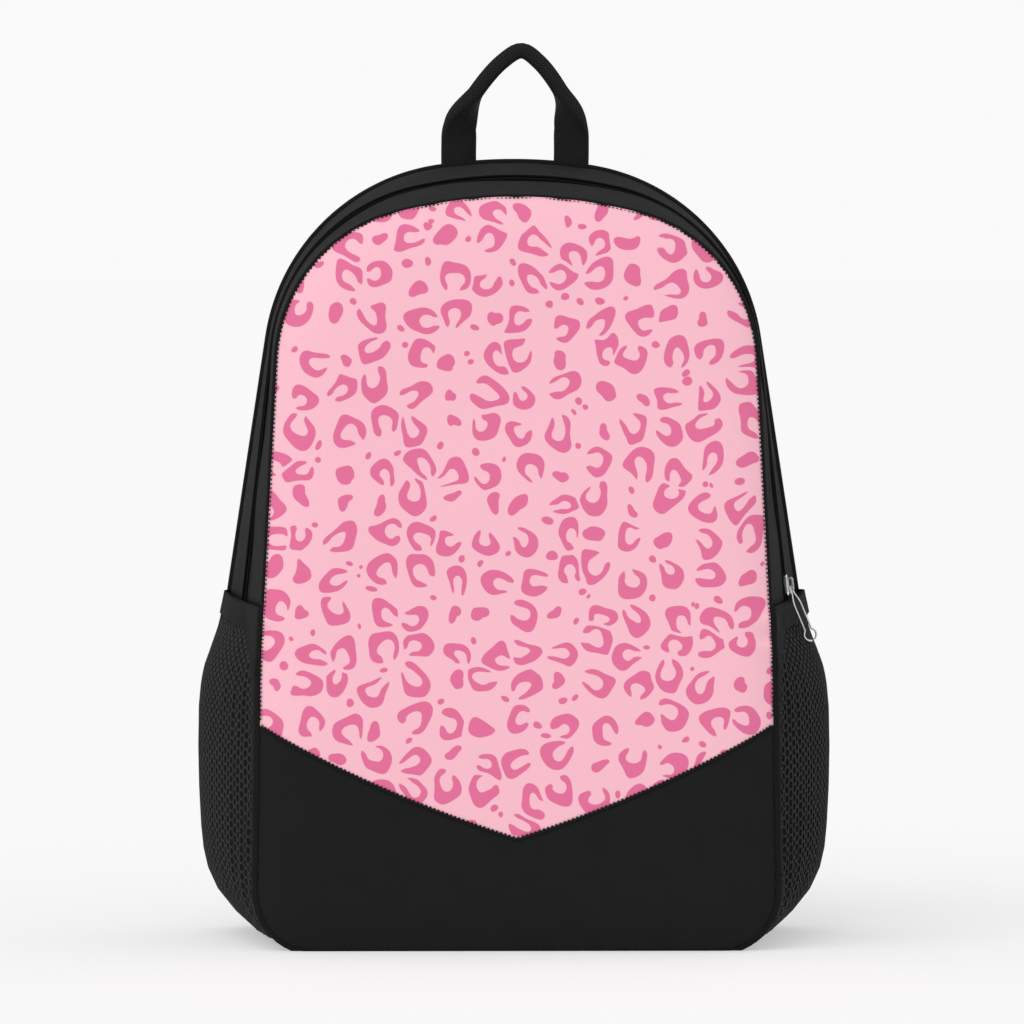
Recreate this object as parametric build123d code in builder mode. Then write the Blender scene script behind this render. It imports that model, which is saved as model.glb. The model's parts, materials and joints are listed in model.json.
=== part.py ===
from build123d import *
import math
import os

os.makedirs("parts", exist_ok=True)

# School backpack. Millimetres, +Z up, front of the bag towards -Y, floor at Z = 0.

# ------------------------------------------------------------------ overall sizes
bag_height = 428.0  # floor to the top of the rear gusset
bag_width = 324.0  # across the rear gusset at the waist
bag_depth = 150.0  # front seam to back seam
crown_front = 12.5  # how far the stuffed front panel swells ahead of its seam
front_flare = 18.0  # the front panel is this much smaller all round than the back
strap_reach = 45.0  # how far the shoulder straps stand behind the back seam

# ------------------------------------------------------------------ cloth and trims
wall = 3.0  # padded cloth with its lining
seam_width = 3.0  # room a piped seam takes
piping_proud = 1.3  # how far the piping stands out of the cloth
split_gap = 0.5  # room between the flap and the bag where the zip parts them

# ------------------------------------------------------------------ zip
zip_end_z = 187.0  # height at which the zip stops on both sides
zip_setback = 68.0  # front seam to the zip's centre line
tape_width = 14.0  # each tape, from the centre line to its sewn edge
coil_width = 2.4  # one half of the coil
coil_gap = 1.6  # room between the two halves of the coil
tape_depth = 0.9  # tape lies this far below the cloth
tape_thick = 0.8
coil_depth = 0.6
coil_thick = 1.4

# ------------------------------------------------------------------ side pockets
hem_front_z = 180.0
hem_rear_z = 192.0
hem_height = 11.0
net_thick = 0.9
pocket_foot_z = 12.0
pocket_bulge = 12.0  # how far the net stands out of the widest part of the bag

# ------------------------------------------------------------------ handle and straps
webbing_thick = 1.6
handle_width = 20.0
handle_thick = 4.0
handle_half = 29.0  # centre of the bag to the middle of a handle leg
handle_rise = 66.0  # above the top of the bag
strap_thick = 12.0
strap_web_width = 25.0
strap_half_width = 31.0

# ------------------------------------------------------------------ derived places
front_seam_y = -(bag_depth + strap_reach - crown_front) / 2
back_seam_y = front_seam_y + bag_depth
zip_y = front_seam_y + zip_setback
waist_z = 0.36 * bag_height
half = bag_width / 2
gusset_front_y = front_seam_y + seam_width / 2
gusset_back_y = back_seam_y - seam_width / 2
panel_y = front_seam_y - seam_width / 2
tape_front_y = zip_y - tape_width
tape_rear_y = zip_y + tape_width
base_seam_z = 34.0
flap_z = zip_end_z + split_gap / 2
bag_z = zip_end_z - split_gap / 2
far = 2 * (bag_width + bag_height)

# Each outline: half width at the foot, at the waist and at the shoulder corner, height of
# the top, drop from the top to the shoulder corner, radius of the shoulder.
front_shape = (half - 20.0, half - 22.5, half - 33.5, bag_height - front_flare, 33.5, 84.0)
rear_shape = (half - 13.0, half, half - 36.0, bag_height, 30.5, 112.0)
foot_radius = 32.0
waist_radius = 260.0
sole_cut = 0.5  # outlines start this far below the floor and are cut flat on it
gusset_swell = 0.29 / 3  # the gusset swells, so the zip stands out by this share more than its setback
zip_blend = zip_setback / bag_depth + gusset_swell
zip_shape = tuple(a + zip_blend * (b - a) for a, b in zip(front_shape, rear_shape))


def arch(shape, y, grow):
    """Upright outline of the bag at depth y, moved outwards by grow."""
    foot, waist, corner, top, drop, shoulder = shape
    with BuildSketch(Plane.XZ.offset(-y)) as face:
        with BuildLine():
            left = (-corner - grow, top - drop + grow)
            right = (corner + grow, top - drop + grow)
            waist_left = (-waist - grow, waist_z)
            waist_right = (waist + grow, waist_z)
            foot_left = (-foot - grow, -sole_cut - grow)
            foot_right = (foot + grow, -sole_cut - grow)
            Polyline(left, waist_left, foot_left, foot_right, waist_right, right)
            ThreePointArc(right, (0, top + grow), left)
        make_face()
        fillet(face.vertices().sort_by(Axis.Y)[-2:], shoulder + grow)
        fillet(face.vertices().sort_by(Axis.Y)[2:4], waist_radius)
        fillet(face.vertices().sort_by(Axis.Y)[0:2], max(foot_radius + grow, 6.0))
    return face.sketch


def bag_form(grow):
    """The stuffed bag between its front and back seams, its skin moved outwards by grow."""
    with BuildPart() as form:
        faces = [
            arch(front_shape, front_seam_y, grow),
            arch(zip_shape, zip_y, grow),
            arch(rear_shape, back_seam_y, grow),
        ]
        loft(faces, ruled=True)
    return form.part


def crown_form(grow):
    """The swelling front of the bag, ahead of the front piping."""
    with BuildPart() as form:
        faces = [
            arch(front_shape, panel_y, grow),
            arch(front_shape, panel_y - 0.4 * crown_front - 0.5 * grow, grow - 3.0),
            arch(front_shape, panel_y - 0.78 * crown_front - 0.9 * grow, grow - 14.0),
            arch(front_shape, panel_y - crown_front - grow, grow - 40.0),
        ]
        loft(faces, ruled=True)
    return form.part


def slab(y_from, y_to, z_from, z_to):
    """Box across the whole bag between two depths and two heights."""
    with BuildPart() as block:
        with Locations((0, (y_from + y_to) / 2, (z_from + z_to) / 2)):
            Box(far, y_to - y_from, z_to - z_from)
    return block.part


outer_form = bag_form(0)
inner_form = bag_form(-wall)
tape_outer = bag_form(-tape_depth)
tape_inner = bag_form(-tape_depth - tape_thick)
coil_outer = bag_form(-coil_depth)
coil_inner = bag_form(-coil_depth - coil_thick)
front_outer = crown_form(0)
front_inner = crown_form(-wall)

# ------------------------------------------------------------------ gusset and base
with BuildPart() as base_panel:
    add(outer_form)
    add(inner_form, mode=Mode.SUBTRACT)
    add(slab(gusset_front_y, gusset_back_y, 0, base_seam_z), mode=Mode.INTERSECT)

with BuildPart() as side_panel_right:
    add(outer_form)
    add(inner_form, mode=Mode.SUBTRACT)
    add(slab(gusset_front_y, gusset_back_y, base_seam_z, bag_z), mode=Mode.INTERSECT)
    split(bisect_by=Plane.YZ, keep=Keep.TOP)

with BuildPart() as side_panel_left:
    add(side_panel_right.part)
    mirror(about=Plane.YZ, mode=Mode.REPLACE)

with BuildPart() as rear_gusset:
    add(outer_form)
    add(inner_form, mode=Mode.SUBTRACT)
    add(slab(tape_rear_y, gusset_back_y, bag_z, far), mode=Mode.INTERSECT)

with BuildPart() as front_gusset:
    add(outer_form)
    add(inner_form, mode=Mode.SUBTRACT)
    add(slab(gusset_front_y, tape_front_y, flap_z, far), mode=Mode.INTERSECT)

# ------------------------------------------------------------------ zip tapes and coil
coil_near = coil_gap / 2
coil_far = coil_gap / 2 + coil_width

with BuildPart() as zip_tape_rear:
    add(tape_outer)
    add(tape_inner, mode=Mode.SUBTRACT)
    add(slab(zip_y + coil_far, tape_rear_y, bag_z, far), mode=Mode.INTERSECT)

with BuildPart() as zip_tape_front:
    add(tape_outer)
    add(tape_inner, mode=Mode.SUBTRACT)
    add(slab(tape_front_y, zip_y - coil_far, flap_z, far), mode=Mode.INTERSECT)

with BuildPart() as zip_coil_rear:
    add(coil_outer)
    add(coil_inner, mode=Mode.SUBTRACT)
    add(slab(zip_y + coil_near, zip_y + coil_far, bag_z, far), mode=Mode.INTERSECT)

with BuildPart() as zip_coil_front:
    add(coil_outer)
    add(coil_inner, mode=Mode.SUBTRACT)
    add(slab(zip_y - coil_far, zip_y - coil_near, flap_z, far), mode=Mode.INTERSECT)

# ------------------------------------------------------------------ front panels
chevron_end_z = 126.0
chevron_mid_z = 88.5
chevron_tip_z = 61.5


def below_chevron():
    """Everything under the V-shaped seam that parts the print from the plain foot."""
    with BuildPart() as block:
        with BuildSketch(Plane.XZ.offset(-front_seam_y)):
            with BuildLine():
                ThreePointArc((0, chevron_tip_z), (half * 0.44, chevron_mid_z), (half, chevron_end_z + 8))
                Polyline((half, chevron_end_z + 8), (half, 0), (-half, 0), (-half, chevron_end_z + 8))
                ThreePointArc((-half, chevron_end_z + 8), (-half * 0.44, chevron_mid_z), (0, chevron_tip_z))
            make_face()
        extrude(amount=60, both=True)
    return block.part


foot_block = below_chevron()

with BuildPart() as print_panel_upper:
    add(front_outer)
    add(front_inner, mode=Mode.SUBTRACT)
    add(slab(-far, panel_y, flap_z, far), mode=Mode.INTERSECT)

with BuildPart() as print_panel_lower:
    add(front_outer)
    add(front_inner, mode=Mode.SUBTRACT)
    add(slab(-far, panel_y, 0, bag_z), mode=Mode.INTERSECT)
    add(foot_block, mode=Mode.SUBTRACT)

with BuildPart() as front_foot_panel:
    add(front_outer)
    add(front_inner, mode=Mode.SUBTRACT)
    add(foot_block, mode=Mode.INTERSECT)


# ------------------------------------------------------------------ piping
def piping(shape, y):
    """Round bead that runs right round a seam."""
    with BuildPart() as bead:
        rims = [
            arch(shape, y - seam_width / 2, 0.1),
            arch(shape, y - seam_width / 4, piping_proud),
            arch(shape, y + seam_width / 4, piping_proud),
            arch(shape, y + seam_width / 2, 0.1),
        ]
        loft(rims, ruled=True)
        extrude(arch(shape, y - seam_width / 2, -wall), amount=-seam_width, mode=Mode.SUBTRACT)
        add(slab(-far, far, 0, far), mode=Mode.INTERSECT)
    return bead.part


front_bead = piping(front_shape, front_seam_y)

with BuildPart() as piping_flap:
    add(front_bead)
    add(slab(-far, far, flap_z, far), mode=Mode.INTERSECT)

with BuildPart() as piping_front:
    add(front_bead)
    add(slab(-far, far, -far, bag_z), mode=Mode.INTERSECT)

with BuildPart() as piping_back:
    add(piping(rear_shape, back_seam_y))

# ------------------------------------------------------------------ back, from the bag's inside out
back_cloth = 1.5
foam_thick = 5.0
lining_thick = 0.8
pad_thick = 7.0
pad_slope = 4.0  # the pads fall away to their stitched edges
foam_slack = 0.9  # the gusset narrows a little ahead of the back seam
back_face_y = back_seam_y + seam_width / 2 + back_cloth
foam_front_y = back_seam_y + seam_width / 2 - foam_thick
lining_front_y = foam_front_y - lining_thick

with BuildPart() as back_panel:
    extrude(arch(rear_shape, back_face_y - back_cloth, 0), amount=-back_cloth)
    add(slab(-far, far, 0, far), mode=Mode.INTERSECT)

with BuildPart() as back_foam:
    extrude(arch(rear_shape, foam_front_y, -wall - foam_slack), amount=-foam_thick)

with BuildPart() as back_lining:
    extrude(arch(rear_shape, lining_front_y, -wall - foam_slack), amount=-lining_thick)


def back_pad(middle_x, middle_z, width, height):
    """Soft pad sewn on the outside of the back."""
    with BuildPart() as pad:
        with BuildSketch(Plane.XZ.offset(-back_face_y)):
            with Locations((middle_x, middle_z)):
                RectangleRounded(width, height, 16)
        extrude(amount=-pad_thick)
        chamfer(pad.faces().sort_by(Axis.Y)[-1].edges(), pad_slope)
    return pad.part


column_width = 0.26 * bag_width
column_height = 0.56 * bag_height
column_x = 0.165 * bag_width
column_z = 0.52 * bag_height
with BuildPart() as back_pad_right:
    add(back_pad(column_x, column_z, column_width, column_height))

with BuildPart() as back_pad_left:
    add(back_pad(-column_x, column_z, column_width, column_height))

with BuildPart() as lumbar_pad:
    add(back_pad(0, 0.14 * bag_height, 0.59 * bag_width, 0.13 * bag_height))

yoke_thick = 1.6
yoke_top_z = bag_height - 26.0
with BuildPart() as strap_yoke:
    with BuildSketch(Plane.XZ.offset(-back_face_y)):
        with Locations((0, yoke_top_z - 9.0)):
            RectangleRounded(168, 18, 4)
    extrude(amount=-yoke_thick)

# ------------------------------------------------------------------ inside of the bag
board_thick = 2.5
board_front_y = gusset_front_y + 4.0
board_back_y = lining_front_y - 2.0
board_half = half - 14.0 - foot_radius - 2.0
with BuildPart() as base_board:
    with Locations((0, (board_front_y + board_back_y) / 2, wall - sole_cut + board_thick / 2)):
        Box(2 * board_half, board_back_y - board_front_y, board_thick)

sleeve_gap = 14.0
sleeve_cloth = 1.0
sleeve_half = 0.36 * bag_width
sleeve_foot_z = 22.0
sleeve_top_z = 0.66 * bag_height
sleeve_middle_z = (sleeve_foot_z + sleeve_top_z) / 2
sleeve_height = sleeve_top_z - sleeve_foot_z
with BuildPart() as inner_sleeve:
    with Locations((0, lining_front_y - (sleeve_gap + sleeve_cloth) / 2, sleeve_middle_z)):
        Box(2 * sleeve_half, sleeve_gap + sleeve_cloth, sleeve_height)
    with Locations((0, lining_front_y - sleeve_gap / 2, sleeve_middle_z + sleeve_cloth)):
        Box(2 * (sleeve_half - sleeve_cloth), sleeve_gap, sleeve_height, mode=Mode.SUBTRACT)

with BuildPart() as sleeve_hem:
    with Locations((0, lining_front_y - sleeve_gap - sleeve_cloth - 0.5, sleeve_top_z - 8.0)):
        Box(2 * sleeve_half, 1.0, 16.0)

# ------------------------------------------------------------------ zip end tabs
tab_proud = 1.0
tab_form = bag_form(tab_proud)
with BuildPart() as zip_end_tab_right:
    add(tab_form)
    add(outer_form, mode=Mode.SUBTRACT)
    add(slab(zip_y - 8.0, zip_y + 8.0, zip_end_z - 14.0, bag_z - 0.3), mode=Mode.INTERSECT)
    split(bisect_by=Plane.YZ, keep=Keep.TOP)

with BuildPart() as zip_end_tab_left:
    add(zip_end_tab_right.part)
    mirror(about=Plane.YZ, mode=Mode.REPLACE)


# ------------------------------------------------------------------ side pockets
def edge_at(shape, z):
    """Half width of an outline at height z, with its rounded foot."""
    foot, waist, corner, top, drop, shoulder = shape
    if z < waist_z:
        reach = foot + (waist - foot) * z / waist_z
    else:
        reach = waist + (corner - waist) * (z - waist_z) / (top - drop - waist_z)
    if z < foot_radius:
        reach -= foot_radius - math.sqrt(foot_radius**2 - (foot_radius - z) ** 2)
    return reach


skin_steps = 10  # flats along the net's swell
swell_ahead = 0.42  # share of the swell reached by the front third of the pocket


def net_form(inset):
    """Bulging side pocket, as a solid whose far side lies inside the bag."""
    net_max = half + pocket_bulge
    rings = (
        # height, how far the bulge stays behind its widest
        (pocket_foot_z, 29.0),
        (26.108, 18.5),
        (36.808, 9.5),
        (47.936, 4.8),
        (70.192, 1.4),
        (113.42, 0.0),
        (145.52, 1.6),
        (166.92, 4.6),
        (179.76, 7.2),
        (hem_rear_z + 2.74, 10.0),
    )
    faces = []
    for z, behind in rings:
        x_front = edge_at(front_shape, z) + 0.4 - inset
        x_rear = edge_at(rear_shape, z) + 0.4 - inset
        x_max = max(net_max - behind - inset, x_rear + 0.6)
        x_ahead = x_front + swell_ahead * (x_max - x_front)
        front_point = (x_front, gusset_front_y)
        rear_point = (x_rear, gusset_back_y)
        ahead_point = (x_ahead, gusset_front_y + 0.30 * bag_depth)
        max_point = (x_max, gusset_front_y + 0.74 * bag_depth)
        back_corner = (half - 50, gusset_back_y)
        front_corner = (half - 50, gusset_front_y)
        swell = Edge.make_spline([Vector(*point) for point in (front_point, ahead_point, max_point, rear_point)])
        skin_points = [swell @ (step / skin_steps) for step in range(skin_steps + 1)]
        skin_points = [(point.X, point.Y) for point in skin_points]
        with BuildSketch(Plane.XY.offset(z)) as ring:
            Polygon(*skin_points, back_corner, front_corner, align=None)
        faces.append(ring.sketch)
    with BuildPart() as form:
        loft(faces, ruled=True)
    return form.part


def pocket_band(low, high):
    """Slice of the pocket between two distances below its sloping mouth."""
    front_top = (gusset_front_y, hem_front_z - low)
    rear_top = (gusset_back_y, hem_rear_z - low)
    rear_foot = (gusset_back_y, hem_rear_z - high)
    front_foot = (gusset_front_y, hem_front_z - high)
    with BuildPart() as band:
        with BuildSketch(Plane.YZ):
            Polygon(front_top, rear_top, rear_foot, front_foot, align=None)
        extrude(amount=bag_width)
    return band.part


with BuildPart() as pocket_net_right:
    add(net_form(0))
    add(net_form(net_thick), mode=Mode.SUBTRACT)
    add(outer_form, mode=Mode.SUBTRACT)
    add(pocket_band(hem_height, 400), mode=Mode.INTERSECT)

with BuildPart() as pocket_net_left:
    add(pocket_net_right.part)
    mirror(about=Plane.YZ, mode=Mode.REPLACE)

with BuildPart() as pocket_hem_right:
    add(net_form(-0.5))
    add(net_form(net_thick + 0.3), mode=Mode.SUBTRACT)
    add(outer_form, mode=Mode.SUBTRACT)
    add(pocket_band(0, hem_height), mode=Mode.INTERSECT)

with BuildPart() as pocket_hem_left:
    add(pocket_hem_right.part)
    mirror(about=Plane.YZ, mode=Mode.REPLACE)

# ------------------------------------------------------------------ grab handle
handle_axis_z = bag_height + piping_proud + 1.7
handle_y = back_seam_y + 1.0
handle_top_z = handle_axis_z + handle_rise - handle_thick
handle_lean = 5.0  # each leg leans in towards the top by this much
handle_neck_rise = 0.48 * handle_rise  # the webbing has turned edge on by this height above the hinge
handle_flat = 14.0  # length of each leg that stays flat to the back
handle_leg = Vector(-handle_lean, 0, handle_neck_rise)
handle_foot_point = Vector(handle_half, handle_y, handle_axis_z)
handle_turn_point = handle_foot_point + handle_leg.normalized() * handle_flat
handle_neck_point = handle_foot_point + handle_leg


def handle_section(point, normal, across, deep):
    """Cut through one leg of the handle."""
    with BuildSketch(Plane(origin=point, x_dir=(0, 1, 0), z_dir=normal)) as cut:
        Rectangle(deep, across)
    return cut.sketch


with BuildPart() as grab_handle:
    flat_low = handle_section(handle_foot_point, (0, 0, 1), handle_width, handle_thick)
    flat_high = handle_section(handle_turn_point, handle_leg, handle_width, handle_thick)
    edge_on = handle_section(handle_neck_point, handle_leg, handle_thick, handle_width)
    loft([flat_low, flat_high], ruled=True)
    loft([flat_high, edge_on], ruled=True)
    with Locations(handle_foot_point):
        Cylinder(handle_thick / 2, handle_width, rotation=(0, 90, 0))
    with Locations(handle_neck_point):
        Cylinder(handle_thick / 2, handle_width, rotation=(90, 0, 0))
    mirror(about=Plane.YZ)
    with BuildSketch(Plane.XZ.offset(-handle_y)):
        with BuildLine():
            neck_right = (handle_neck_point.X, handle_neck_point.Z)
            neck_left = (-handle_neck_point.X, handle_neck_point.Z)
            ThreePointArc(neck_right, (0, handle_top_z), neck_left)
        trace(line_width=handle_thick)
    extrude(amount=handle_width / 2, both=True)

with BuildPart() as handle_foot_right:
    with Locations((handle_half, back_face_y + webbing_thick / 2, bag_height - 13.5)):
        Box(handle_width, webbing_thick, 22.0)

with BuildPart() as handle_foot_left:
    add(handle_foot_right.part)
    mirror(about=Plane.YZ, mode=Mode.REPLACE)

# ------------------------------------------------------------------ shoulder strap, right
strap_top_z = yoke_top_z - 3.0
strap_top_y = back_face_y + yoke_thick + 0.5
strap_end_z = 0.313 * bag_height
strap_rise = strap_top_z - strap_end_z
strap_swell = strap_reach - strap_thick - 5.5
binding_width = 3.0
strap_steps = (
    # share of the drop, across, out from the back, share of the half width
    (0.00, 46.0, 0.00, 0.97),
    (0.10, 48.0, 0.30, 0.98),
    (0.26, 58.0, 0.70, 1.00),
    (0.48, 72.0, 1.00, 1.00),
    (0.71, 80.0, 0.96, 0.93),
    (0.88, 82.0, 0.72, 0.80),
    (1.00, 82.0, 0.46, 0.61),
)


def strap_outline(trim):
    """Plan of the padded strap, seen from behind, trimmed all round."""
    near = []
    away = []
    for drop, across, out, share in strap_steps:
        z = strap_top_z - drop * strap_rise
        near.append((across - share * strap_half_width + trim, z))
        away.append((across + share * strap_half_width - trim, z))
    with BuildSketch(Plane.XZ.offset(-strap_top_y)) as plan:
        with BuildLine():
            Spline(near)
            Spline(away)
            Line(near[0], away[0])
            Line(near[-1], away[-1])
        make_face()
        with Locations((0, strap_end_z + trim)):
            height = strap_rise - 2 * trim
            Rectangle(far, height, align=(Align.CENTER, Align.MIN), mode=Mode.INTERSECT)
    return plan.sketch


def strap_side(trim):
    """Side view of the padded strap, its two faces trimmed."""
    inner = []
    outer = []
    for drop, across, out, share in strap_steps:
        y = strap_top_y + out * strap_swell
        z = strap_top_z - drop * strap_rise
        inner.append((y + trim, z))
        outer.append((y + strap_thick - trim, z))
    with BuildSketch(Plane.YZ) as view:
        with BuildLine():
            Spline(inner)
            Spline(outer)
            Line(inner[0], outer[0])
            Line(inner[-1], outer[-1])
        make_face()
    return view.sketch


# the lower webbing runs straight from the ladder lock to its tab at the foot of the back
lock_point = Vector(87, strap_top_y + 17.0, strap_end_z - 17.0)
web_spread = 44.0  # the lower webbing runs outwards by this much
tab_point = Vector(lock_point.X + web_spread, back_face_y + 2.6, 39.0)
web_offset = 2.9
run_vector = (tab_point - lock_point + Vector(0, web_offset, 0)).normalized()
up_vector = run_vector * -1
out_vector = (Vector(0, 1, 0) - run_vector * run_vector.Y).normalized()
side_vector = up_vector.cross(out_vector)
web_length = (tab_point - lock_point).length
lock_plane = Plane(origin=lock_point, x_dir=side_vector, z_dir=out_vector)
web_plane = Plane(origin=lock_point, x_dir=up_vector, z_dir=side_vector)
bar = 4.0
slot = 6.0
middle_bar = 3.0
lock_thick = 3.5
lock_width = strap_web_width + 8.0
tail_length = 62.0
loop_reach = 30.0

with BuildPart() as ladder_lock_right:
    with BuildSketch(lock_plane):
        RectangleRounded(lock_width, 2 * (bar + slot) + middle_bar, 3)
        for side in (-1, 1):
            with Locations((0, side * (middle_bar + slot) / 2)):
                Rectangle(strap_web_width + 1.6, slot, mode=Mode.SUBTRACT)
    extrude(amount=lock_thick / 2, both=True)


def ribbon(low, high, turn, width):
    """Webbing folded over a bar: two legs from low, up to a half turn at high, seen on edge."""
    with BuildPart() as web:
        with BuildSketch(web_plane) as edge:
            with BuildLine() as path:
                Line((low[0], -turn), (high, -turn))
                ThreePointArc((high, -turn), (high + turn * low[2], 0), (high, turn))
                Line((high, turn), (low[1], turn))
            trace(line_width=webbing_thick)
        extrude(amount=width / 2, both=True)
    return web.part


# webbing loop that holds the lock to the pad, round the lock's top bar
with BuildPart() as lock_loop_right:
    add(ribbon((loop_reach, loop_reach, -1), middle_bar / 2 + slot + 1.0, web_offset, strap_web_width))

# adjusting webbing, from the tab up behind the lock, over its middle bar and down as a tail
with BuildPart() as strap_webbing_right:
    add(ribbon((-web_length, -tail_length, 1), middle_bar / 2 - 1.05, web_offset, strap_web_width))
    with Locations(web_plane.location):
        with Locations((-tail_length + 6.0, web_offset + webbing_thick, 0)):
            Box(12.0, webbing_thick, strap_web_width)

with BuildPart() as loop_block:
    with Locations(web_plane.location):
        with Locations((loop_reach, 0, 0)):
            Box(2 * loop_reach, 2 * web_offset + webbing_thick, strap_web_width)

with BuildPart() as strap_pad_right:
    extrude(strap_outline(binding_width), amount=-far)
    with BuildPart(mode=Mode.INTERSECT):
        extrude(strap_side(0), amount=far)
    add(loop_block.part, mode=Mode.SUBTRACT)

with BuildPart() as strap_binding_right:
    extrude(strap_outline(0), amount=-far)
    extrude(strap_outline(binding_width), amount=-far, mode=Mode.SUBTRACT)
    with BuildPart(mode=Mode.INTERSECT):
        extrude(strap_side(2.5), amount=far)
    add(loop_block.part, mode=Mode.SUBTRACT)

with BuildPart() as anchor_tab_right:
    with BuildSketch(Plane.XZ.offset(-back_face_y)):
        flat_run = Vector(run_vector.X, run_vector.Z, 0).normalized()
        flat_side = Vector(-flat_run.Y, flat_run.X, 0)
        tab_middle = Vector(tab_point.X, tab_point.Z, 0)
        near_edge = tab_middle + flat_run * 1.4
        far_edge = tab_middle + flat_run * 19.0
        corners = []
        for middle, reach in ((near_edge, 13.5), (far_edge, 10.5)):
            for side in (reach, -reach):
                corner = middle + flat_side * (side if middle is near_edge else -side)
                corners.append((corner.X, corner.Y))
        Polygon(*corners, align=None)
    extrude(amount=-3.2)

# ------------------------------------------------------------------ zip slider and wire pull
slider_z = zip_end_z + 8.5
zip_foot, zip_waist, zip_corner, zip_top, zip_drop, zip_shoulder = zip_shape
zip_lean = math.atan2(zip_waist - zip_corner, zip_top - zip_drop - waist_z)
zip_flare = math.atan2(rear_shape[1] - front_shape[1], bag_depth)
zip_x = zip_waist - (slider_z - waist_z) * math.tan(zip_lean)
zip_up = Vector(-math.sin(zip_lean), 0, math.cos(zip_lean))
zip_out = Vector(
    math.cos(zip_lean) * math.cos(zip_flare),
    -math.sin(zip_flare),
    math.sin(zip_lean) * math.cos(zip_flare),
)
coil_middle = coil_depth + coil_thick / 2
slider_point = Vector(zip_x, zip_y, slider_z) - zip_out * coil_middle
slider_plane = Plane(origin=slider_point, x_dir=zip_up, z_dir=zip_out)
slider_edge_plane = Plane(origin=slider_point, x_dir=zip_up, z_dir=slider_plane.y_dir * -1)
slider_length = 11.0
slider_width = 8.4
plate_thick = 1.2
plate_in = 1.4
plate_out = 2.7
bridge_high = 3.4
bridge_thick = 1.0
bridge_width = 1.8


def slider_plate(height):
    """Plate of the slider, wide at its shoulders and narrow at its tail."""
    with BuildPart() as plate:
        with BuildSketch(slider_plane.offset(height)):
            low = -slider_length / 2
            high = slider_length / 2
            wide = slider_width / 2
            Polygon((low, -wide), (low, wide), (1.0, wide), (high, 3.0), (high, -3.0), (1.0, -wide), align=None)
        extrude(amount=plate_thick)
        fillet(plate.edges().filter_by(Axis(slider_point, zip_out)), 1.2)
    return plate.part


with BuildPart() as zip_slider:
    add(slider_plate(plate_out))
    add(slider_plate(-plate_in - plate_thick))
    with BuildSketch(slider_plane.offset(-plate_in)):
        with Locations((-slider_length / 2 + 2.4, 0)):
            Rectangle(3.0, 0.8)
    extrude(amount=plate_in + plate_out)
    with BuildSketch(slider_edge_plane):
        plate_top = plate_out + plate_thick
        with Locations((0, plate_top + bridge_high / 2)):
            RectangleRounded(8.0, bridge_high, 1.4)
        with Locations((0, plate_top + (bridge_high - bridge_thick) / 2)):
            Rectangle(6.0, bridge_high - bridge_thick, mode=Mode.SUBTRACT)
        with Locations((0, plate_top + 0.35)):
            Rectangle(8.0, 0.7)
    extrude(amount=bridge_width / 2, both=True)

wire = 0.6
pull_lean = math.radians(32.0)
pull_length = 33.0
pull_point = slider_point + zip_up * -1.4 + zip_out * (plate_out + plate_thick + 1.4)
pull_down = zip_up * -math.cos(pull_lean) + zip_out * math.sin(pull_lean)
pull_side = slider_plane.y_dir
pull_face = pull_down.cross(pull_side)
pull_turn = math.radians(12.0)
pull_across = pull_side * math.cos(pull_turn) + pull_face * math.sin(pull_turn)
pull_plane = Plane(origin=pull_point, x_dir=pull_across, z_dir=pull_across.cross(pull_down * -1))
neck_half = 2.0  # the wire's two legs stand this far either side of the middle
ring_radius = 3.4
flare_radius = 1.6  # each leg flares out into the ring
cut_gap = 0.2  # the wire is bent from one length: its cut ends meet at the foot of the ring
ring_down = pull_length - 2 * wire - ring_radius
flare_rise = math.sqrt((ring_radius + flare_radius) ** 2 - (neck_half + flare_radius) ** 2)
touch_share = ring_radius / (ring_radius + flare_radius)
flare_down = ring_down - flare_rise
flare_turn = math.acos((neck_half + flare_radius) / (ring_radius + flare_radius)) / 2
flare_mid_x = neck_half + flare_radius - flare_radius * math.cos(flare_turn)
flare_mid_down = flare_down + flare_radius * math.sin(flare_turn)
touch_x = (neck_half + flare_radius) * touch_share
touch_down = ring_down - flare_rise * touch_share

with BuildPart() as zip_pull:
    with BuildLine(pull_plane) as wire_path:
        ThreePointArc((-neck_half, -neck_half), (0, 0), (neck_half, -neck_half))
        for side in (-1, 1):
            Line((side * neck_half, -neck_half), (side * neck_half, -flare_down))
            ThreePointArc(
                (side * neck_half, -flare_down),
                (side * flare_mid_x, -flare_mid_down),
                (side * touch_x, -touch_down),
            )
            cut_end = (side * cut_gap, -ring_down - ring_radius)
            half_ring = ThreePointArc((side * touch_x, -touch_down), (side * ring_radius, -ring_down), cut_end)
    with BuildSketch(Plane(origin=half_ring @ 1, z_dir=half_ring % 1)):
        Circle(wire)
    sweep(path=wire_path.line)


def other_side(part):
    """The same piece on the left of the bag."""
    with BuildPart() as copy:
        add(part)
        mirror(about=Plane.YZ, mode=Mode.REPLACE)
    return copy.part


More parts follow.
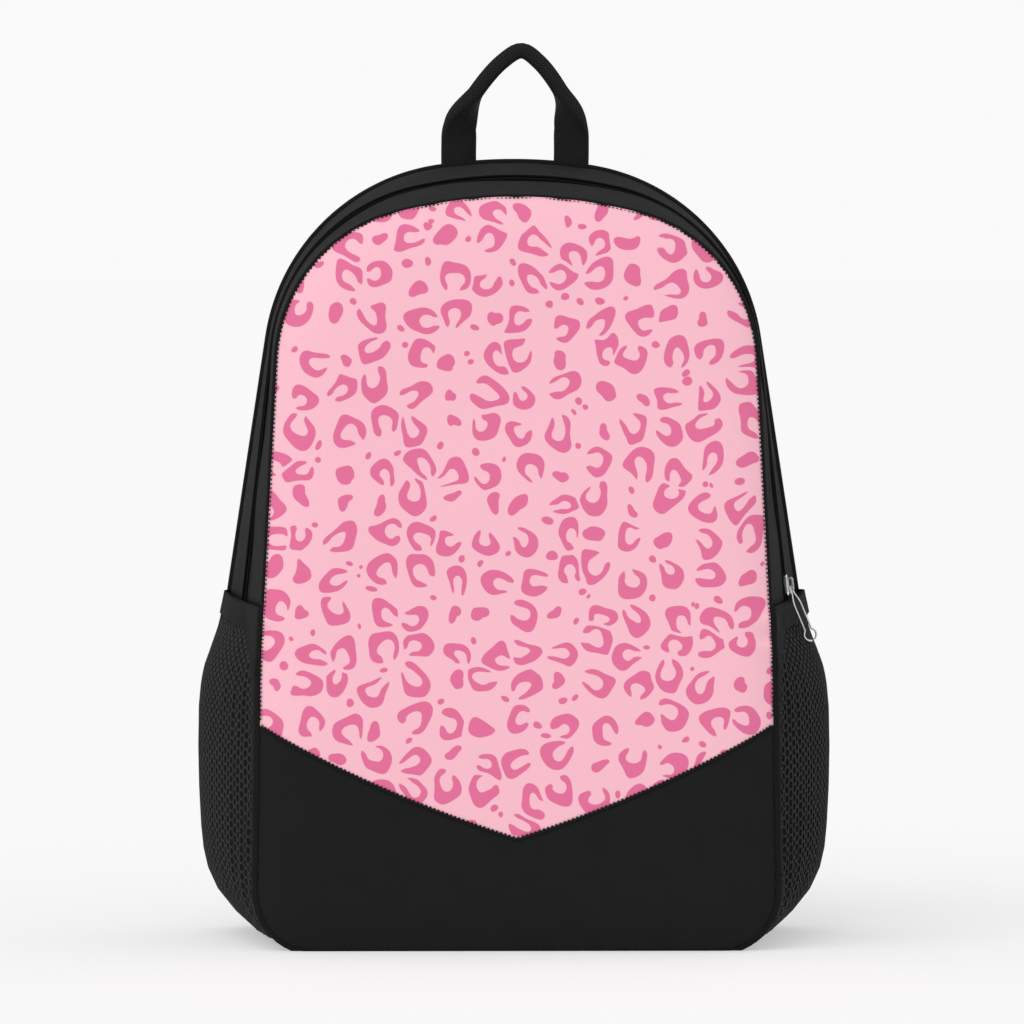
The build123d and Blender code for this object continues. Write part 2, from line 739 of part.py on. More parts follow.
# ------------------------------------------------------------------ save
pieces = {
    "base_panel": base_panel.part,
    "side_panel_right": side_panel_right.part,
    "side_panel_left": side_panel_left.part,
    "rear_gusset": rear_gusset.part,
    "front_gusset": front_gusset.part,
    "zip_tape_rear": zip_tape_rear.part,
    "zip_tape_front": zip_tape_front.part,
    "zip_coil_rear": zip_coil_rear.part,
    "zip_coil_front": zip_coil_front.part,
    "zip_end_tab_right": zip_end_tab_right.part,
    "zip_end_tab_left": zip_end_tab_left.part,
    "print_panel_upper": print_panel_upper.part,
    "print_panel_lower": print_panel_lower.part,
    "front_foot_panel": front_foot_panel.part,
    "piping_flap": piping_flap.part,
    "piping_front": piping_front.part,
    "piping_back": piping_back.part,
    "back_panel": back_panel.part,
    "back_foam": back_foam.part,
    "back_lining": back_lining.part,
    "back_pad_right": back_pad_right.part,
    "back_pad_left": back_pad_left.part,
    "lumbar_pad": lumbar_pad.part,
    "strap_yoke": strap_yoke.part,
    "base_board": base_board.part,
    "inner_sleeve": inner_sleeve.part,
    "sleeve_hem": sleeve_hem.part,
    "pocket_net_right": pocket_net_right.part,
    "pocket_net_left": pocket_net_left.part,
    "pocket_hem_right": pocket_hem_right.part,
    "pocket_hem_left": pocket_hem_left.part,
    "grab_handle": grab_handle.part,
    "handle_foot_right": handle_foot_right.part,
    "handle_foot_left": handle_foot_left.part,
    "strap_pad_right": strap_pad_right.part,
    "strap_pad_left": other_side(strap_pad_right.part),
    "strap_binding_right": strap_binding_right.part,
    "strap_binding_left": other_side(strap_binding_right.part),
    "lock_loop_right": lock_loop_right.part,
    "lock_loop_left": other_side(lock_loop_right.part),
    "ladder_lock_right": ladder_lock_right.part,
    "ladder_lock_left": other_side(ladder_lock_right.part),
    "strap_webbing_right": strap_webbing_right.part,
    "strap_webbing_left": other_side(strap_webbing_right.part),
    "anchor_tab_right": anchor_tab_right.part,
    "anchor_tab_left": other_side(anchor_tab_right.part),
    "zip_slider": zip_slider.part,
    "zip_pull": zip_pull.part,
}
for name, part in pieces.items():
    part.label = name
    export_step(part, "parts/" + name + ".step")
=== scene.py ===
import json
import math

import bmesh
import bpy
from mathutils import Matrix, Vector, noise
from mathutils.kdtree import KDTree


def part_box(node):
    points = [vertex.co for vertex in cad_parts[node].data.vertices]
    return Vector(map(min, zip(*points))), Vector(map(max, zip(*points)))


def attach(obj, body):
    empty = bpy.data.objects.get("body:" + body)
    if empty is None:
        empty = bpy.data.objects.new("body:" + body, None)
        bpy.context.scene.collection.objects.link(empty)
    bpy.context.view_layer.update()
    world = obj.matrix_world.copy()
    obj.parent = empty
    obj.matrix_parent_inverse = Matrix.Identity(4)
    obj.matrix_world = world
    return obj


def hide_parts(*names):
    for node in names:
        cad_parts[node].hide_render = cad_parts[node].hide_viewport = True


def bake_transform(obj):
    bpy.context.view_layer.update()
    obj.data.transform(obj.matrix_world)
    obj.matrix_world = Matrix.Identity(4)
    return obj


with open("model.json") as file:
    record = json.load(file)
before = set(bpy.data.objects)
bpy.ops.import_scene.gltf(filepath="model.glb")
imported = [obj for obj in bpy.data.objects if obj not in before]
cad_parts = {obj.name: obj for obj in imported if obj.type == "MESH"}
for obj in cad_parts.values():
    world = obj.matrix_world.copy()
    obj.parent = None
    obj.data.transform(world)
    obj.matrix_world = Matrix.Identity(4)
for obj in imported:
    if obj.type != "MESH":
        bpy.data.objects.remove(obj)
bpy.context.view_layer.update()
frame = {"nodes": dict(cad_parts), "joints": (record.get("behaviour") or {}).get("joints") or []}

# School backpack, in metres. +Z up, printed front towards -Y, floor at Z = 0.
MM = 0.001
FORWARDS, REARWARDS = Vector((0, -1, 0)), Vector((0, 1, 0))
SIDES = (("right", 1), ("left", -1))

# ---- sizes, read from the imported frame
BAG_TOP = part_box("back_panel")[1].z
FRONT_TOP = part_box("print_panel_upper")[1].z
FRONT_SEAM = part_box("front_gusset")[0].y - 1.5 * MM
BACK_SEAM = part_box("rear_gusset")[1].y + 1.5 * MM
PANEL_Y = FRONT_SEAM - 1.5 * MM
BACK_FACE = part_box("back_panel")[1].y
DEPTH = BACK_SEAM - FRONT_SEAM
WAIST_Z = 154 * MM
ZIP_Z = 187 * MM  # foot of the zip, where the front folds open
ZIP_Y = FRONT_SEAM + 68 * MM
TAPE = 14 * MM  # width of one zip tape
CLOTH = 2.5 * MM  # outer cloth with its padding
HALF = 163.5 * MM
FOOT_RADIUS = 32 * MM
WAIST_RADIUS = 260 * MM
CROWN = 12.5 * MM
SWELL = 0.39
# half width at the foot, waist and shoulder corner, top height, drop to the corner, shoulder radius
FRONT_SHAPE = (0.1420, 0.1395, 0.1275, FRONT_TOP, 0.0335, 0.086)
REAR_SHAPE = (HALF - 0.0135, HALF, HALF - 0.037, BAG_TOP, 0.0300, 0.112)


# ---- outlines of the bag
def arc(centre, start, end, share):
    """Point on the short arc about centre from start to end."""
    a = math.atan2(start[1] - centre[1], start[0] - centre[0])
    b = math.atan2(end[1] - centre[1], end[0] - centre[0])
    turn = (b - a + math.pi) % (2 * math.pi) - math.pi
    radius = math.dist(centre, start)
    angle = a + turn * share
    return centre[0] + radius * math.cos(angle), centre[1] + radius * math.sin(angle)


def corner_arc(before, corner, after, radius):
    """Centre, start and end of the arc that rounds a corner between two straight lines."""
    back = (Vector(before) - Vector(corner)).normalized()
    on = (Vector(after) - Vector(corner)).normalized()
    half_angle = back.angle(on) / 2
    start = Vector(corner) + back * radius / math.tan(half_angle)
    end = Vector(corner) + on * radius / math.tan(half_angle)
    centre = Vector(corner) + (back + on).normalized() * radius / math.sin(half_angle)
    return centre[:], start[:], end[:]


class Outline:
    """Right half of an upright outline, from the middle of the foot (0) to the middle of the top (8)."""

    def __init__(self, shape):
        foot, waist, corner, top, drop, shoulder = shape
        foot_corner = (foot, 0.0)
        waist_corner = (waist, WAIST_Z)
        top_corner = (corner, top - drop)
        arch_radius = (corner**2 + drop**2) / (2 * drop)
        arch_centre = (0.0, top - arch_radius)
        foot_arc = corner_arc((0, 0), foot_corner, waist_corner, FOOT_RADIUS)
        waist_arc = corner_arc(foot_corner, waist_corner, top_corner, WAIST_RADIUS)
        up = (Vector(top_corner) - Vector(waist_corner)).normalized()
        inward = Vector((-up.y, up.x))
        base = Vector(waist_corner) + inward * shoulder - Vector(arch_centre)
        along = base.dot(up)
        reach = arch_radius - shoulder
        slide = -along + math.sqrt(along**2 - base.length_squared + reach**2)
        shoulder_centre = Vector(waist_corner) + inward * shoulder + up * slide
        shoulder_start = shoulder_centre - inward * shoulder
        outward = (shoulder_centre - Vector(arch_centre)).normalized()
        shoulder_end = Vector(arch_centre) + outward * arch_radius
        fold = Vector(waist_corner) + up * (ZIP_Z - WAIST_Z) / up.y
        self.parts = [
            ("line", (0.0, 0.0), foot_arc[1]),
            ("arc", foot_arc[1], foot_arc[2], foot_arc[0]),
            ("line", foot_arc[2], waist_arc[1]),
            ("arc", waist_arc[1], waist_arc[2], waist_arc[0]),
            ("line", waist_arc[2], fold[:]),
            ("line", fold[:], shoulder_start[:]),
            ("arc", shoulder_start[:], shoulder_end[:], shoulder_centre[:]),
            ("arc", shoulder_end[:], (0.0, top), arch_centre),
        ]

    def at(self, t):
        n = min(int(t), 7)
        kind, start, end, *centre = self.parts[n]
        if kind == "arc":
            return arc(centre[0], start, end, t - n)
        return tuple(a + (b - a) * (t - n) for a, b in zip(start, end))


front_line = Outline(FRONT_SHAPE)
rear_line = Outline(REAR_SHAPE)


def body_point(t, y, out=0.0):
    """Point on the side of the bag: t runs from the foot (0) to the top (8), negative on the left."""
    share = (y - FRONT_SEAM) / DEPTH
    share += SWELL * share * (1 - share)
    side = -1 if t < 0 else 1
    t = abs(t)

    def blended(t):
        a, b = front_line.at(t), rear_line.at(t)
        return Vector((a[0] + (b[0] - a[0]) * share, a[1] + (b[1] - a[1]) * share))

    here = blended(t)
    if out:
        before, after = blended(max(t - 0.01, 0)), blended(min(t + 0.01, 8))
        along = (after - before).normalized()
        here += Vector((along.y, -along.x)) * out
    return Vector((side * here.x, y, here.y))


def stations(first, last, step):
    """Parameters from first to last on one half outline, about one step apart along it."""
    result = []
    for part in range(int(first), math.ceil(last)):
        low, high = max(first, part), min(last, part + 1)
        marks = [rear_line.at(low + (high - low) * i / 8) for i in range(9)]
        length = sum(math.dist(a, b) for a, b in zip(marks, marks[1:]))
        count = max(2, round(length / step))
        result += [low + (high - low) * i / count for i in range(count)]
    return result + [last]


def both_sides(half):
    """Parameters of a run from the left foot over the top to the right foot."""
    return [-t for t in half] + list(reversed(half[:-1]))


# ---- making meshes
def finish_mesh(bm, name, material):
    """Object with a bmesh as its mesh, faces turned outwards and shaded smooth."""
    bmesh.ops.recalc_face_normals(bm, faces=bm.faces)
    mesh = bpy.data.meshes.new(name)
    bm.to_mesh(mesh)
    bm.free()
    for polygon in mesh.polygons:
        polygon.use_smooth = True
    mesh.materials.append(material)
    obj = bpy.data.objects.new(name, mesh)
    bpy.context.scene.collection.objects.link(obj)
    return obj


def thicken(obj, thickness, offset=-1):
    """Wall of even thickness, grown inwards unless offset says otherwise."""
    solid = obj.modifiers.new("thickness", "SOLIDIFY")
    solid.thickness = thickness
    solid.offset = offset
    return obj


def grid_mesh(columns, rows, place, uv=None):
    """Grid whose vertex (i, j) goes where place(i, j) says, with its flat size kept as UV."""
    bm = bmesh.new()
    layer = bm.loops.layers.uv.new("UVMap")
    bmesh.ops.create_grid(bm, x_segments=columns - 1, y_segments=rows - 1, size=0.5)
    index = {}
    for vert in bm.verts:
        i = round((vert.co.x + 0.5) * (columns - 1))
        j = round((vert.co.y + 0.5) * (rows - 1))
        index[vert] = (i, j)
    for face in bm.faces:
        for loop in face.loops:
            i, j = index[loop.vert]
            loop[layer].uv = uv(i, j) if uv else (i * 0.002, j * 0.002)
    for vert, (i, j) in index.items():
        vert.co = place(i, j)
    return bm


def lengths(points):
    """Distance from the first point to each point along a run."""
    total = [0.0]
    for a, b in zip(points, points[1:]):
        total.append(total[-1] + (b - a).length)
    return total


def surface(name, us, vs, point, material, thickness):
    """Cloth laid over point(u, v), with its flat size as UV. Thickness goes inwards."""
    middle = vs[len(vs) // 2]
    along = lengths([point(u, middle) for u in us])
    across = lengths([point(us[len(us) // 2], v) for v in vs])
    bm = grid_mesh(len(us), len(vs), lambda i, j: point(us[i], vs[j]), lambda i, j: (along[i], across[j]))
    return thicken(finish_mesh(bm, name, material), thickness)


def tube(name, rows, material, closed=False):
    """Skin over rings of points, each ring closed on itself, capped at both ends unless the run is closed."""
    count = len(rows[0])
    run = lengths([row[0] for row in rows])
    girth = lengths(rows[0] + rows[0][:1])
    n = len(rows)
    bm = grid_mesh(
        n + (1 if closed else 0),
        count + 1,
        lambda i, j: rows[i % n][j % count],
        lambda i, j: (run[min(i, n - 1)], girth[j]),
    )
    bmesh.ops.remove_doubles(bm, verts=bm.verts, dist=1e-7)
    if not closed:
        bmesh.ops.holes_fill(bm, edges=[e for e in bm.edges if e.is_boundary], sides=0)
    return finish_mesh(bm, name, material)


def ring(centre, across, up, radius, count=8):
    """Ring of points about centre in the plane of two directions."""
    turns = [2 * math.pi * k / count for k in range(count)]
    return [centre + across * radius * math.cos(turn) + up * radius * math.sin(turn) for turn in turns]


def directions(points, closed=False):
    """Unit direction of travel at each point of a run."""
    n = len(points)
    result = []
    for i in range(n):
        before = points[(i - 1) % n] if closed else points[max(i - 1, 0)]
        after = points[(i + 1) % n] if closed else points[min(i + 1, n - 1)]
        result.append((after - before).normalized())
    return result


def bead_rows(run, radius, closed=False):
    """Rings of a round bead along a run that keeps to upright planes."""
    return [ring(p, REARWARDS, REARWARDS.cross(way), radius) for p, way in zip(run, directions(run, closed))]


def along_run(points, targets):
    """Place and direction at each of some rising distances along a run."""
    run = lengths(points)
    result = []
    k = 0
    for target in targets:
        while k < len(run) - 2 and run[k + 1] < target:
            k += 1
        share = (target - run[k]) / max(run[k + 1] - run[k], 1e-9)
        result.append((points[k].lerp(points[k + 1], min(max(share, 0), 1)), points[k + 1] - points[k]))
    return result


def resample(points, step):
    """Points one step apart along a run."""
    run = lengths(points)[-1]
    count = max(2, round(run / step))
    return [point for point, _ in along_run(points, [run * i / count for i in range(count + 1)])]


def smooth_run(points, per=12):
    """Catmull-Rom curve through points."""
    result = []
    ends = [points[0] * 2 - points[1], *points, points[-1] * 2 - points[-2]]
    for a, b, c, d in zip(ends, ends[1:], ends[2:], ends[3:]):
        square, cube = 2 * a - 5 * b + 4 * c - d, 3 * b - a - 3 * c + d
        for t in (i / per for i in range(per)):
            result.append(0.5 * (2 * b + (c - a) * t + square * t**2 + cube * t**3))
    return result + [points[-1].copy()]


def scatter(name, part, places, material):
    """Copies of one small mesh, one at each matrix in places, as a single piece."""
    bm = bmesh.new()
    for place in places:
        mark = len(bm.verts)
        bm.from_mesh(part)
        bm.verts.ensure_lookup_table()
        bmesh.ops.transform(bm, matrix=place, verts=bm.verts[mark:])
    return finish_mesh(bm, name, material)


def frame_at(point, along, out):
    """Placement whose X runs along and whose Z points out."""
    along = along.normalized()
    side = out.cross(along).normalized()
    out = along.cross(side)
    matrix = Matrix((along, side, out)).transposed().to_4x4()
    matrix.translation = point
    return matrix


def small_mesh(make):
    """Little mesh made with bmesh operators, used again and again."""
    bm = bmesh.new()
    make(bm)
    mesh = bpy.data.meshes.new("part")
    bm.to_mesh(mesh)
    bm.free()
    return mesh


def stitches(name, points, out, pitch=3.2 * MM, long=2.3 * MM, wide=0.55 * MM):
    """Row of sewing along a run on a surface that faces out."""

    def one_stitch(bm):
        bmesh.ops.create_uvsphere(bm, u_segments=6, v_segments=4, radius=0.5)
        bmesh.ops.rotate(bm, verts=bm.verts, matrix=Matrix.Rotation(math.pi / 2, 3, "Y"))
        bmesh.ops.scale(bm, verts=bm.verts, vec=(long, wide, wide))

    targets = [(i + 0.5) * pitch for i in range(int(lengths(points)[-1] / pitch))]
    places = [frame_at(point, way, out) for point, way in along_run(points, targets)]
    return scatter(name, small_mesh(one_stitch), places, thread)


# ---- node helper
class Value:
    """A number in a shader, which takes plain arithmetic."""

    def __init__(self, tree, socket):
        self.tree = tree
        self.socket = socket

    def math(self, operation, *others, clamp=False):
        node = self.tree.nodes.new("ShaderNodeMath")
        node.operation = operation
        node.use_clamp = clamp
        for slot, item in zip(node.inputs, (self, *others)):
            if isinstance(item, Value):
                self.tree.links.new(item.socket, slot)
            else:
                slot.default_value = item
        return Value(self.tree, node.outputs[0])

    def reflected(self, operation, other):
        node = self.tree.nodes.new("ShaderNodeMath")
        node.operation = operation
        node.inputs[0].default_value = other
        self.tree.links.new(self.socket, node.inputs[1])
        return Value(self.tree, node.outputs[0])

    def __add__(self, other):
        return self.math("ADD", other)

    __radd__ = __add__

    def __sub__(self, other):
        return self.math("SUBTRACT", other)

    def __rsub__(self, other):
        return self.reflected("SUBTRACT", other)

    def __mul__(self, other):
        return self.math("MULTIPLY", other)

    __rmul__ = __mul__

    def __truediv__(self, other):
        return self.math("DIVIDE", other)

    def __pow__(self, other):
        return self.math("POWER", other)

    def below(self, other, soft=0.0):
        """1 where this is under other, turning over soft either side."""
        if not soft:
            return self.math("LESS_THAN", other)
        return ((other - self) / (2 * soft) + 0.5).math("MULTIPLY", 1.0, clamp=True)

    def above(self, other, soft=0.0):
        return 1.0 - self.below(other, soft)

    def sine(self):
        return self.math("SINE")

    def size(self):
        return self.math("ABSOLUTE")

    def fraction(self):
        return self.math("FRACT")

    def most(self, other):
        return self.math("MAXIMUM", other)

    def rounded(self, other, soft):
        """The lesser of two distances, with the corner between them rounded off."""
        return self.math("SMOOTH_MIN", other, soft)


class Look:
    """A procedural material built from nodes."""

    def __init__(self, name, color=(0.5, 0.5, 0.5), rough=0.8, **shader):
        self.material = bpy.data.materials.new(name)
        self.material.use_nodes = True
        self.tree = self.material.node_tree
        self.shader = self.tree.nodes["Principled BSDF"]
        self.shader.inputs["Base Color"].default_value = (*color, 1)
        self.shader.inputs["Roughness"].default_value = rough
        for key, value in shader.items():
            self.shader.inputs[key.replace("_", " ")].default_value = value

    def node(self, kind, settings=None, **inputs):
        node = self.tree.nodes.new("ShaderNode" + kind)
        for key, value in (settings or {}).items():
            setattr(node, key, value)
        for key, value in inputs.items():
            self.give(node.inputs[key.replace("_", " ")], value)
        return node

    def give(self, slot, value):
        if isinstance(value, Value):
            self.tree.links.new(value.socket, slot)
        elif isinstance(value, bpy.types.NodeSocket):
            self.tree.links.new(value, slot)
        else:
            slot.default_value = value

    def value(self, socket):
        return Value(self.tree, socket)

    def coordinates(self, kind="UV"):
        return self.node("TexCoord").outputs[kind]

    def scaled(self, vector, factor):
        node = self.node("VectorMath", {"operation": "SCALE"}, Scale=factor)
        self.give(node.inputs[0], vector)
        return node.outputs[0]

    def vector_math(self, operation, first, second):
        node = self.node("VectorMath", {"operation": operation})
        self.give(node.inputs[0], first)
        self.give(node.inputs[1], second)
        return node.outputs[0]

    def split(self, vector):
        node = self.node("SeparateXYZ")
        self.give(node.inputs[0], vector)
        return [self.value(s) for s in node.outputs]

    def noise(self, vector, scale):
        node = self.node("TexNoise", Vector=vector, Scale=scale, Detail=3.0, Roughness=0.5)
        return self.value(node.outputs[0])

    def mix(self, share, first, second):
        node = self.node("Mix", {"data_type": "RGBA"})
        self.give(node.inputs["Factor"], share)
        slots = [s for s in node.inputs if s.type == "RGBA"]
        for slot, item in zip(slots, (first, second)):
            self.give(slot, (*item, 1) if isinstance(item, tuple) and len(item) == 3 else item)
        return next(s for s in node.outputs if s.type == "RGBA")

    def feed(self, **inputs):
        for key, value in inputs.items():
            self.give(self.shader.inputs[key.replace("_", " ")], value)

    def bump(self, height, distance):
        node = self.node("Bump", Height=height, Distance=distance, Strength=1.0)
        self.give(self.shader.inputs["Normal"], node.outputs[0])


# ---- looks
def tinted(color, by):
    return tuple(c * by for c in color)


def waves(value, pitch):
    return (value * (2 * math.pi / pitch)).sine()


def twill(look, pitch):
    """Height of a fine diagonal weave, in 0 to 1, laid out in the cloth's own flat metres."""
    x, y, _ = look.split(look.coordinates())
    return waves(x + y, pitch) * 0.35 + waves(x - y * 0.9, pitch * 1.3) * 0.15 + 0.5


def cloth_look(name, color, rough=0.95, pitch=0.9 * MM, depth=0.12 * MM, vary=0.25):
    """Woven cloth, its twill showing in height, and in colour as painted shade in its grooves and painted
    light on its ridges, mixed with patches of tone that differ at random.
    """
    look = Look(name, color, rough, Specular_IOR_Level=0.08)
    weave = twill(look, pitch)
    patches = look.noise(look.coordinates(), 55.0)
    lit_weave_and_pale_patches = tuple(c * (1 + vary) + 0.002 for c in color)
    # colour darker in the twill's grooves and lighter on its ridges is painted shade and light; the noise
    # patches are the cloth's own uneven tone
    look.feed(Base_Color=look.mix(weave * 0.6 + patches * 0.4, tinted(color, 1 - vary), lit_weave_and_pale_patches))
    look.bump(weave, depth)
    return look.material


def webbing_look(name, color, rib=2.2 * MM, thread_pitch=1.1 * MM):
    """Webbing with herringbone ribs, coloured darker in their grooves and lighter on their crests as painted
    shade and light.
    """
    look = Look(name, color, 0.85, Specular_IOR_Level=0.12)
    x, y, _ = look.split(look.coordinates())
    zig = ((x * (1 / rib)).fraction() - 0.5).size() * 1.6
    height = ((y * (2 * math.pi / thread_pitch)) + zig * 6.0).sine() * 0.5 + 0.5
    # colour follows the ribs' height: painted shade in the grooves, painted light on the crests
    look.feed(Base_Color=look.mix(height, tinted(color, 0.6), tinted(color, 1.5)))
    look.bump(height, 0.25 * MM)
    return look.material


def grained(name, color, rough, shine, scale):
    """One colour with a fine cloudy grain."""
    look = Look(name, color, rough, Specular_IOR_Level=shine)
    grain = look.noise(look.coordinates("Object"), scale)
    look.feed(Base_Color=look.mix(grain, tinted(color, 0.7), tinted(color, 1.3)))
    look.feed(Roughness=grain * 0.2 + (rough - 0.1))
    look.bump(grain, 0.03 * MM)
    return look.material


def elastic_look(name, color, rib=1.3 * MM):
    """Woven elastic, ribbed along its length, coloured darker in the grooves and lighter on the ribs as
    painted shade and light.
    """
    look = Look(name, color, 0.9, Specular_IOR_Level=0.08)
    _, y, _ = look.split(look.coordinates())
    height = waves(y, rib) * 0.5 + 0.5
    # colour follows the ribs' height: painted shade in the grooves, painted light on the ribs
    look.feed(Base_Color=look.mix(height, tinted(color, 0.55), tinted(color, 1.35)))
    look.bump(height, 0.15 * MM)
    return look.material


def spacer_mesh(name, color, pitch=2.6 * MM):
    """Knitted spacer cloth with rows of little holes, painted dark in the holes as shade and lighter between
    them. Laid out by the object's own place, not by UV.
    """
    look = Look(name, color, 0.95, Specular_IOR_Level=0.06)
    x, _, z = look.split(look.coordinates("Object"))
    sway = (x * (math.pi / pitch)).sine().size() * 2.0
    holes = (waves(x, pitch) * (z * (2 * math.pi / (pitch * 1.3)) + sway).sine()).above(0.25, 0.2)
    # holes coloured dark as painted shade, the cloth between them lightened as painted light
    look.feed(Base_Color=look.mix(holes, tinted(color, 1.5), tinted(color, 0.3)))
    look.bump(1.0 - holes, 0.4 * MM)
    return look.material


def metal_look(name, color, rough):
    """Plated metal with faint cloudiness."""
    look = Look(name, color, rough, Metallic=1.0)
    cloud = look.noise(look.coordinates("Object"), 900.0)
    look.feed(Roughness=cloud * 0.14 + (rough - 0.05))
    look.bump(cloud, 0.02 * MM)
    return look.material


def leopard_look(name, pale, spot, cell=20 * MM, scatter_share=0.48):
    """Leopard spots: broken rings of uneven stroke, and small blots in the room between them."""
    look = Look(name, pale, 0.78, Sheen_Weight=0.1, Sheen_Roughness=0.4, Specular_IOR_Level=0.25)
    flat = look.scaled(look.coordinates(), 1 / cell)
    wander = look.node("TexNoise", Vector=flat, Scale=1.3, Detail=0.0).outputs["Color"]
    drift = look.vector_math("SUBTRACT", wander, (0.5, 0.5, 0.5))
    bent = look.vector_math("ADD", flat, look.scaled(drift, 0.45))

    def cells(vector, scale=1.0, spread=scatter_share, **more):
        plan = {"voronoi_dimensions": "2D", **more}
        return look.node("TexVoronoi", plan, Vector=vector, Scale=scale, Randomness=spread).outputs

    # one spot to each cell, turned and shaped by the cell's own three random numbers
    spots = cells(bent)
    turned, girth, kind = look.split(spots["Color"])
    dx, dy, _ = look.split(look.vector_math("SUBTRACT", bent, spots["Position"]))
    cosine = (turned * (2 * math.pi)).math("COSINE")
    sine = (turned * (2 * math.pi)).sine()
    along = dx * cosine + dy * sine
    aside = dy * cosine - dx * sine
    turn = aside.math("ARCTAN2", along)
    wobble = (turn * 3.0 + girth * 12.0).sine() * 0.022 + (turn * 2.0 + kind * 9.0).sine() * 0.03
    reach = (along * along * 0.85 + aside * aside * 1.15) ** 0.5
    rim = wobble + (girth * 0.05 + 0.368) - reach
    shifted = along - 0.07
    hole = (shifted * shifted + aside * aside * 1.25) ** 0.5 - (girth * 0.045 + 0.165)
    mouth = (aside.size() - (kind * 0.06 + 0.085)).most(0.03 - along)
    border = look.value(cells(bent, feature="DISTANCE_TO_EDGE")["Distance"]) - 0.045
    rosette = rim.rounded(hole, 0.06).rounded(mouth, 0.10).rounded(border, 0.07)
    blot = (wobble + (kind * 0.07 + 0.17) - reach).rounded(border, 0.06)
    lone = kind.below(0.12) + kind.above(0.90)
    shape = (rosette * (1.0 - lone) + blot * lone).above(0.0, 0.008)

    # small dots, only where the nearest spot is far enough away
    small = cells(bent, 2.1, 0.9)
    nearest = cells(small["Position"])
    room = look.value(nearest["Distance"]).above(0.60)
    dot = look.value(small["Distance"]).below(look.split(small["Color"])[0] * 0.10 + 0.14, 0.02)

    weave = twill(look, 0.8 * MM)
    ground = look.mix(weave * 0.25, pale, tinted(pale, 0.95))
    look.feed(Base_Color=look.mix(shape.most(dot * room), ground, spot))
    look.bump(weave, 0.04 * MM)
    return look.material


BLACK = (0.0125, 0.0125, 0.0130)
black_cloth = cloth_look("black cloth", BLACK)
strap_cloth = cloth_look("strap cloth", BLACK)
strip_cloth = cloth_look("strip cloth", (0.0165, 0.0165, 0.0170), pitch=1.3 * MM, depth=0.15 * MM, vary=0.4)
lining_cloth = cloth_look("lining", (0.02, 0.02, 0.021), 0.7, 0.6 * MM, 0.04 * MM)
piping_cloth = cloth_look("piping", (0.009, 0.009, 0.0092), 0.8, 0.8 * MM, 0.08 * MM)
tape_cloth = cloth_look("zip tape", (0.024, 0.024, 0.0245), 0.8, 0.7 * MM, 0.1 * MM)
# near-black cloth for the beads beside the zip: painted shade for the shadowed gaps between the strips and
# the tapes
painted_gap_shade_cloth = cloth_look("painted gap shade", (0.004, 0.004, 0.0042), 0.9, 0.8 * MM, 0.05 * MM)
# very dark cloth for the sheet inside each pocket's net: painted shade for the inside of the pocket
painted_pocket_shade_cloth = cloth_look("painted pocket shade", (0.006, 0.006, 0.0062), pitch=0.5 * MM, depth=0.03 * MM)
print_cloth = leopard_look("leopard cloth", (0.965, 0.521, 0.610), (0.78, 0.165, 0.33))
elastic_cloth = elastic_look("elastic", (0.0115, 0.0115, 0.012))
webbing = webbing_look("webbing", (0.016, 0.016, 0.0165))
air_mesh = spacer_mesh("air mesh", (0.016, 0.016, 0.0165))
thread = grained("thread", (0.022, 0.022, 0.023), 0.8, 0.2, 1500.0)
coil_plastic = grained("zip coil", (0.016, 0.016, 0.0165), 0.5, 0.3, 900.0)
net_yarn = grained("net yarn", (0.034, 0.034, 0.036), 0.8, 0.15, 1500.0)
buckle_plastic = grained("buckle plastic", (0.018, 0.018, 0.019), 0.45, 0.5, 1200.0)
board_plastic = grained("board plastic", (0.05, 0.05, 0.055), 0.5, 0.5, 300.0)
foam_look = grained("foam", (0.20, 0.20, 0.21), 0.95, 0.2, 800.0)
nickel = metal_look("nickel", (0.72, 0.72, 0.73), 0.20)


def apply_all(obj):
    """Turns what an object's modifiers make into its own mesh."""
    graph = bpy.context.evaluated_depsgraph_get()
    mesh = bpy.data.meshes.new_from_object(obj.evaluated_get(graph), depsgraph=graph)
    obj.modifiers.clear()
    obj.data = mesh


def carried(piece, slot, *nodes, body="bag"):
    """Hides the frame's nodes that a piece stands for, then bakes a piece of the flap into its mesh where it
    lies, or parents any other piece to the empty of its body. The slot is not used.
    """
    if nodes:
        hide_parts(*nodes)
    if body == "flap":
        # cloth that runs from the bag into the front that folds open: its modifiers and place go into its
        # mesh, and it follows no body
        apply_all(piece)
        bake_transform(piece)
    else:
        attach(piece, body)
    return piece


def distance_to(points):
    """Function of x and z that gives the distance to the nearest of some (x, z) points."""
    tree = KDTree(len(points))
    for number, (x, z) in enumerate(points):
        tree.insert((x, 0, z), number)
    tree.balance()
    return lambda x, z: tree.find((x, 0, z))[2]


def eased(value, low, high):
    """0 below low, 1 above high, with a soft turn at both."""
    share = min(max((value - low) / (high - low), 0), 1)
    return share * share * (3 - 2 * share)


def ruffle(point, size, depth):
    """Soft unevenness of cloth at a point."""
    return noise.noise(point / size) * depth


# ---- front panels
front_edge = [body_point(t, FRONT_SEAM) for t in both_sides(stations(0, 8, 1.5 * MM))]
from_front_edge = distance_to([(p.x, p.z) for p in front_edge])

CHEVRON_REACH = 158 * MM
CHEVRON_END = 133.5 * MM
CHEVRON_MID = 87.5 * MM
CHEVRON_TIP = 61.5 * MM


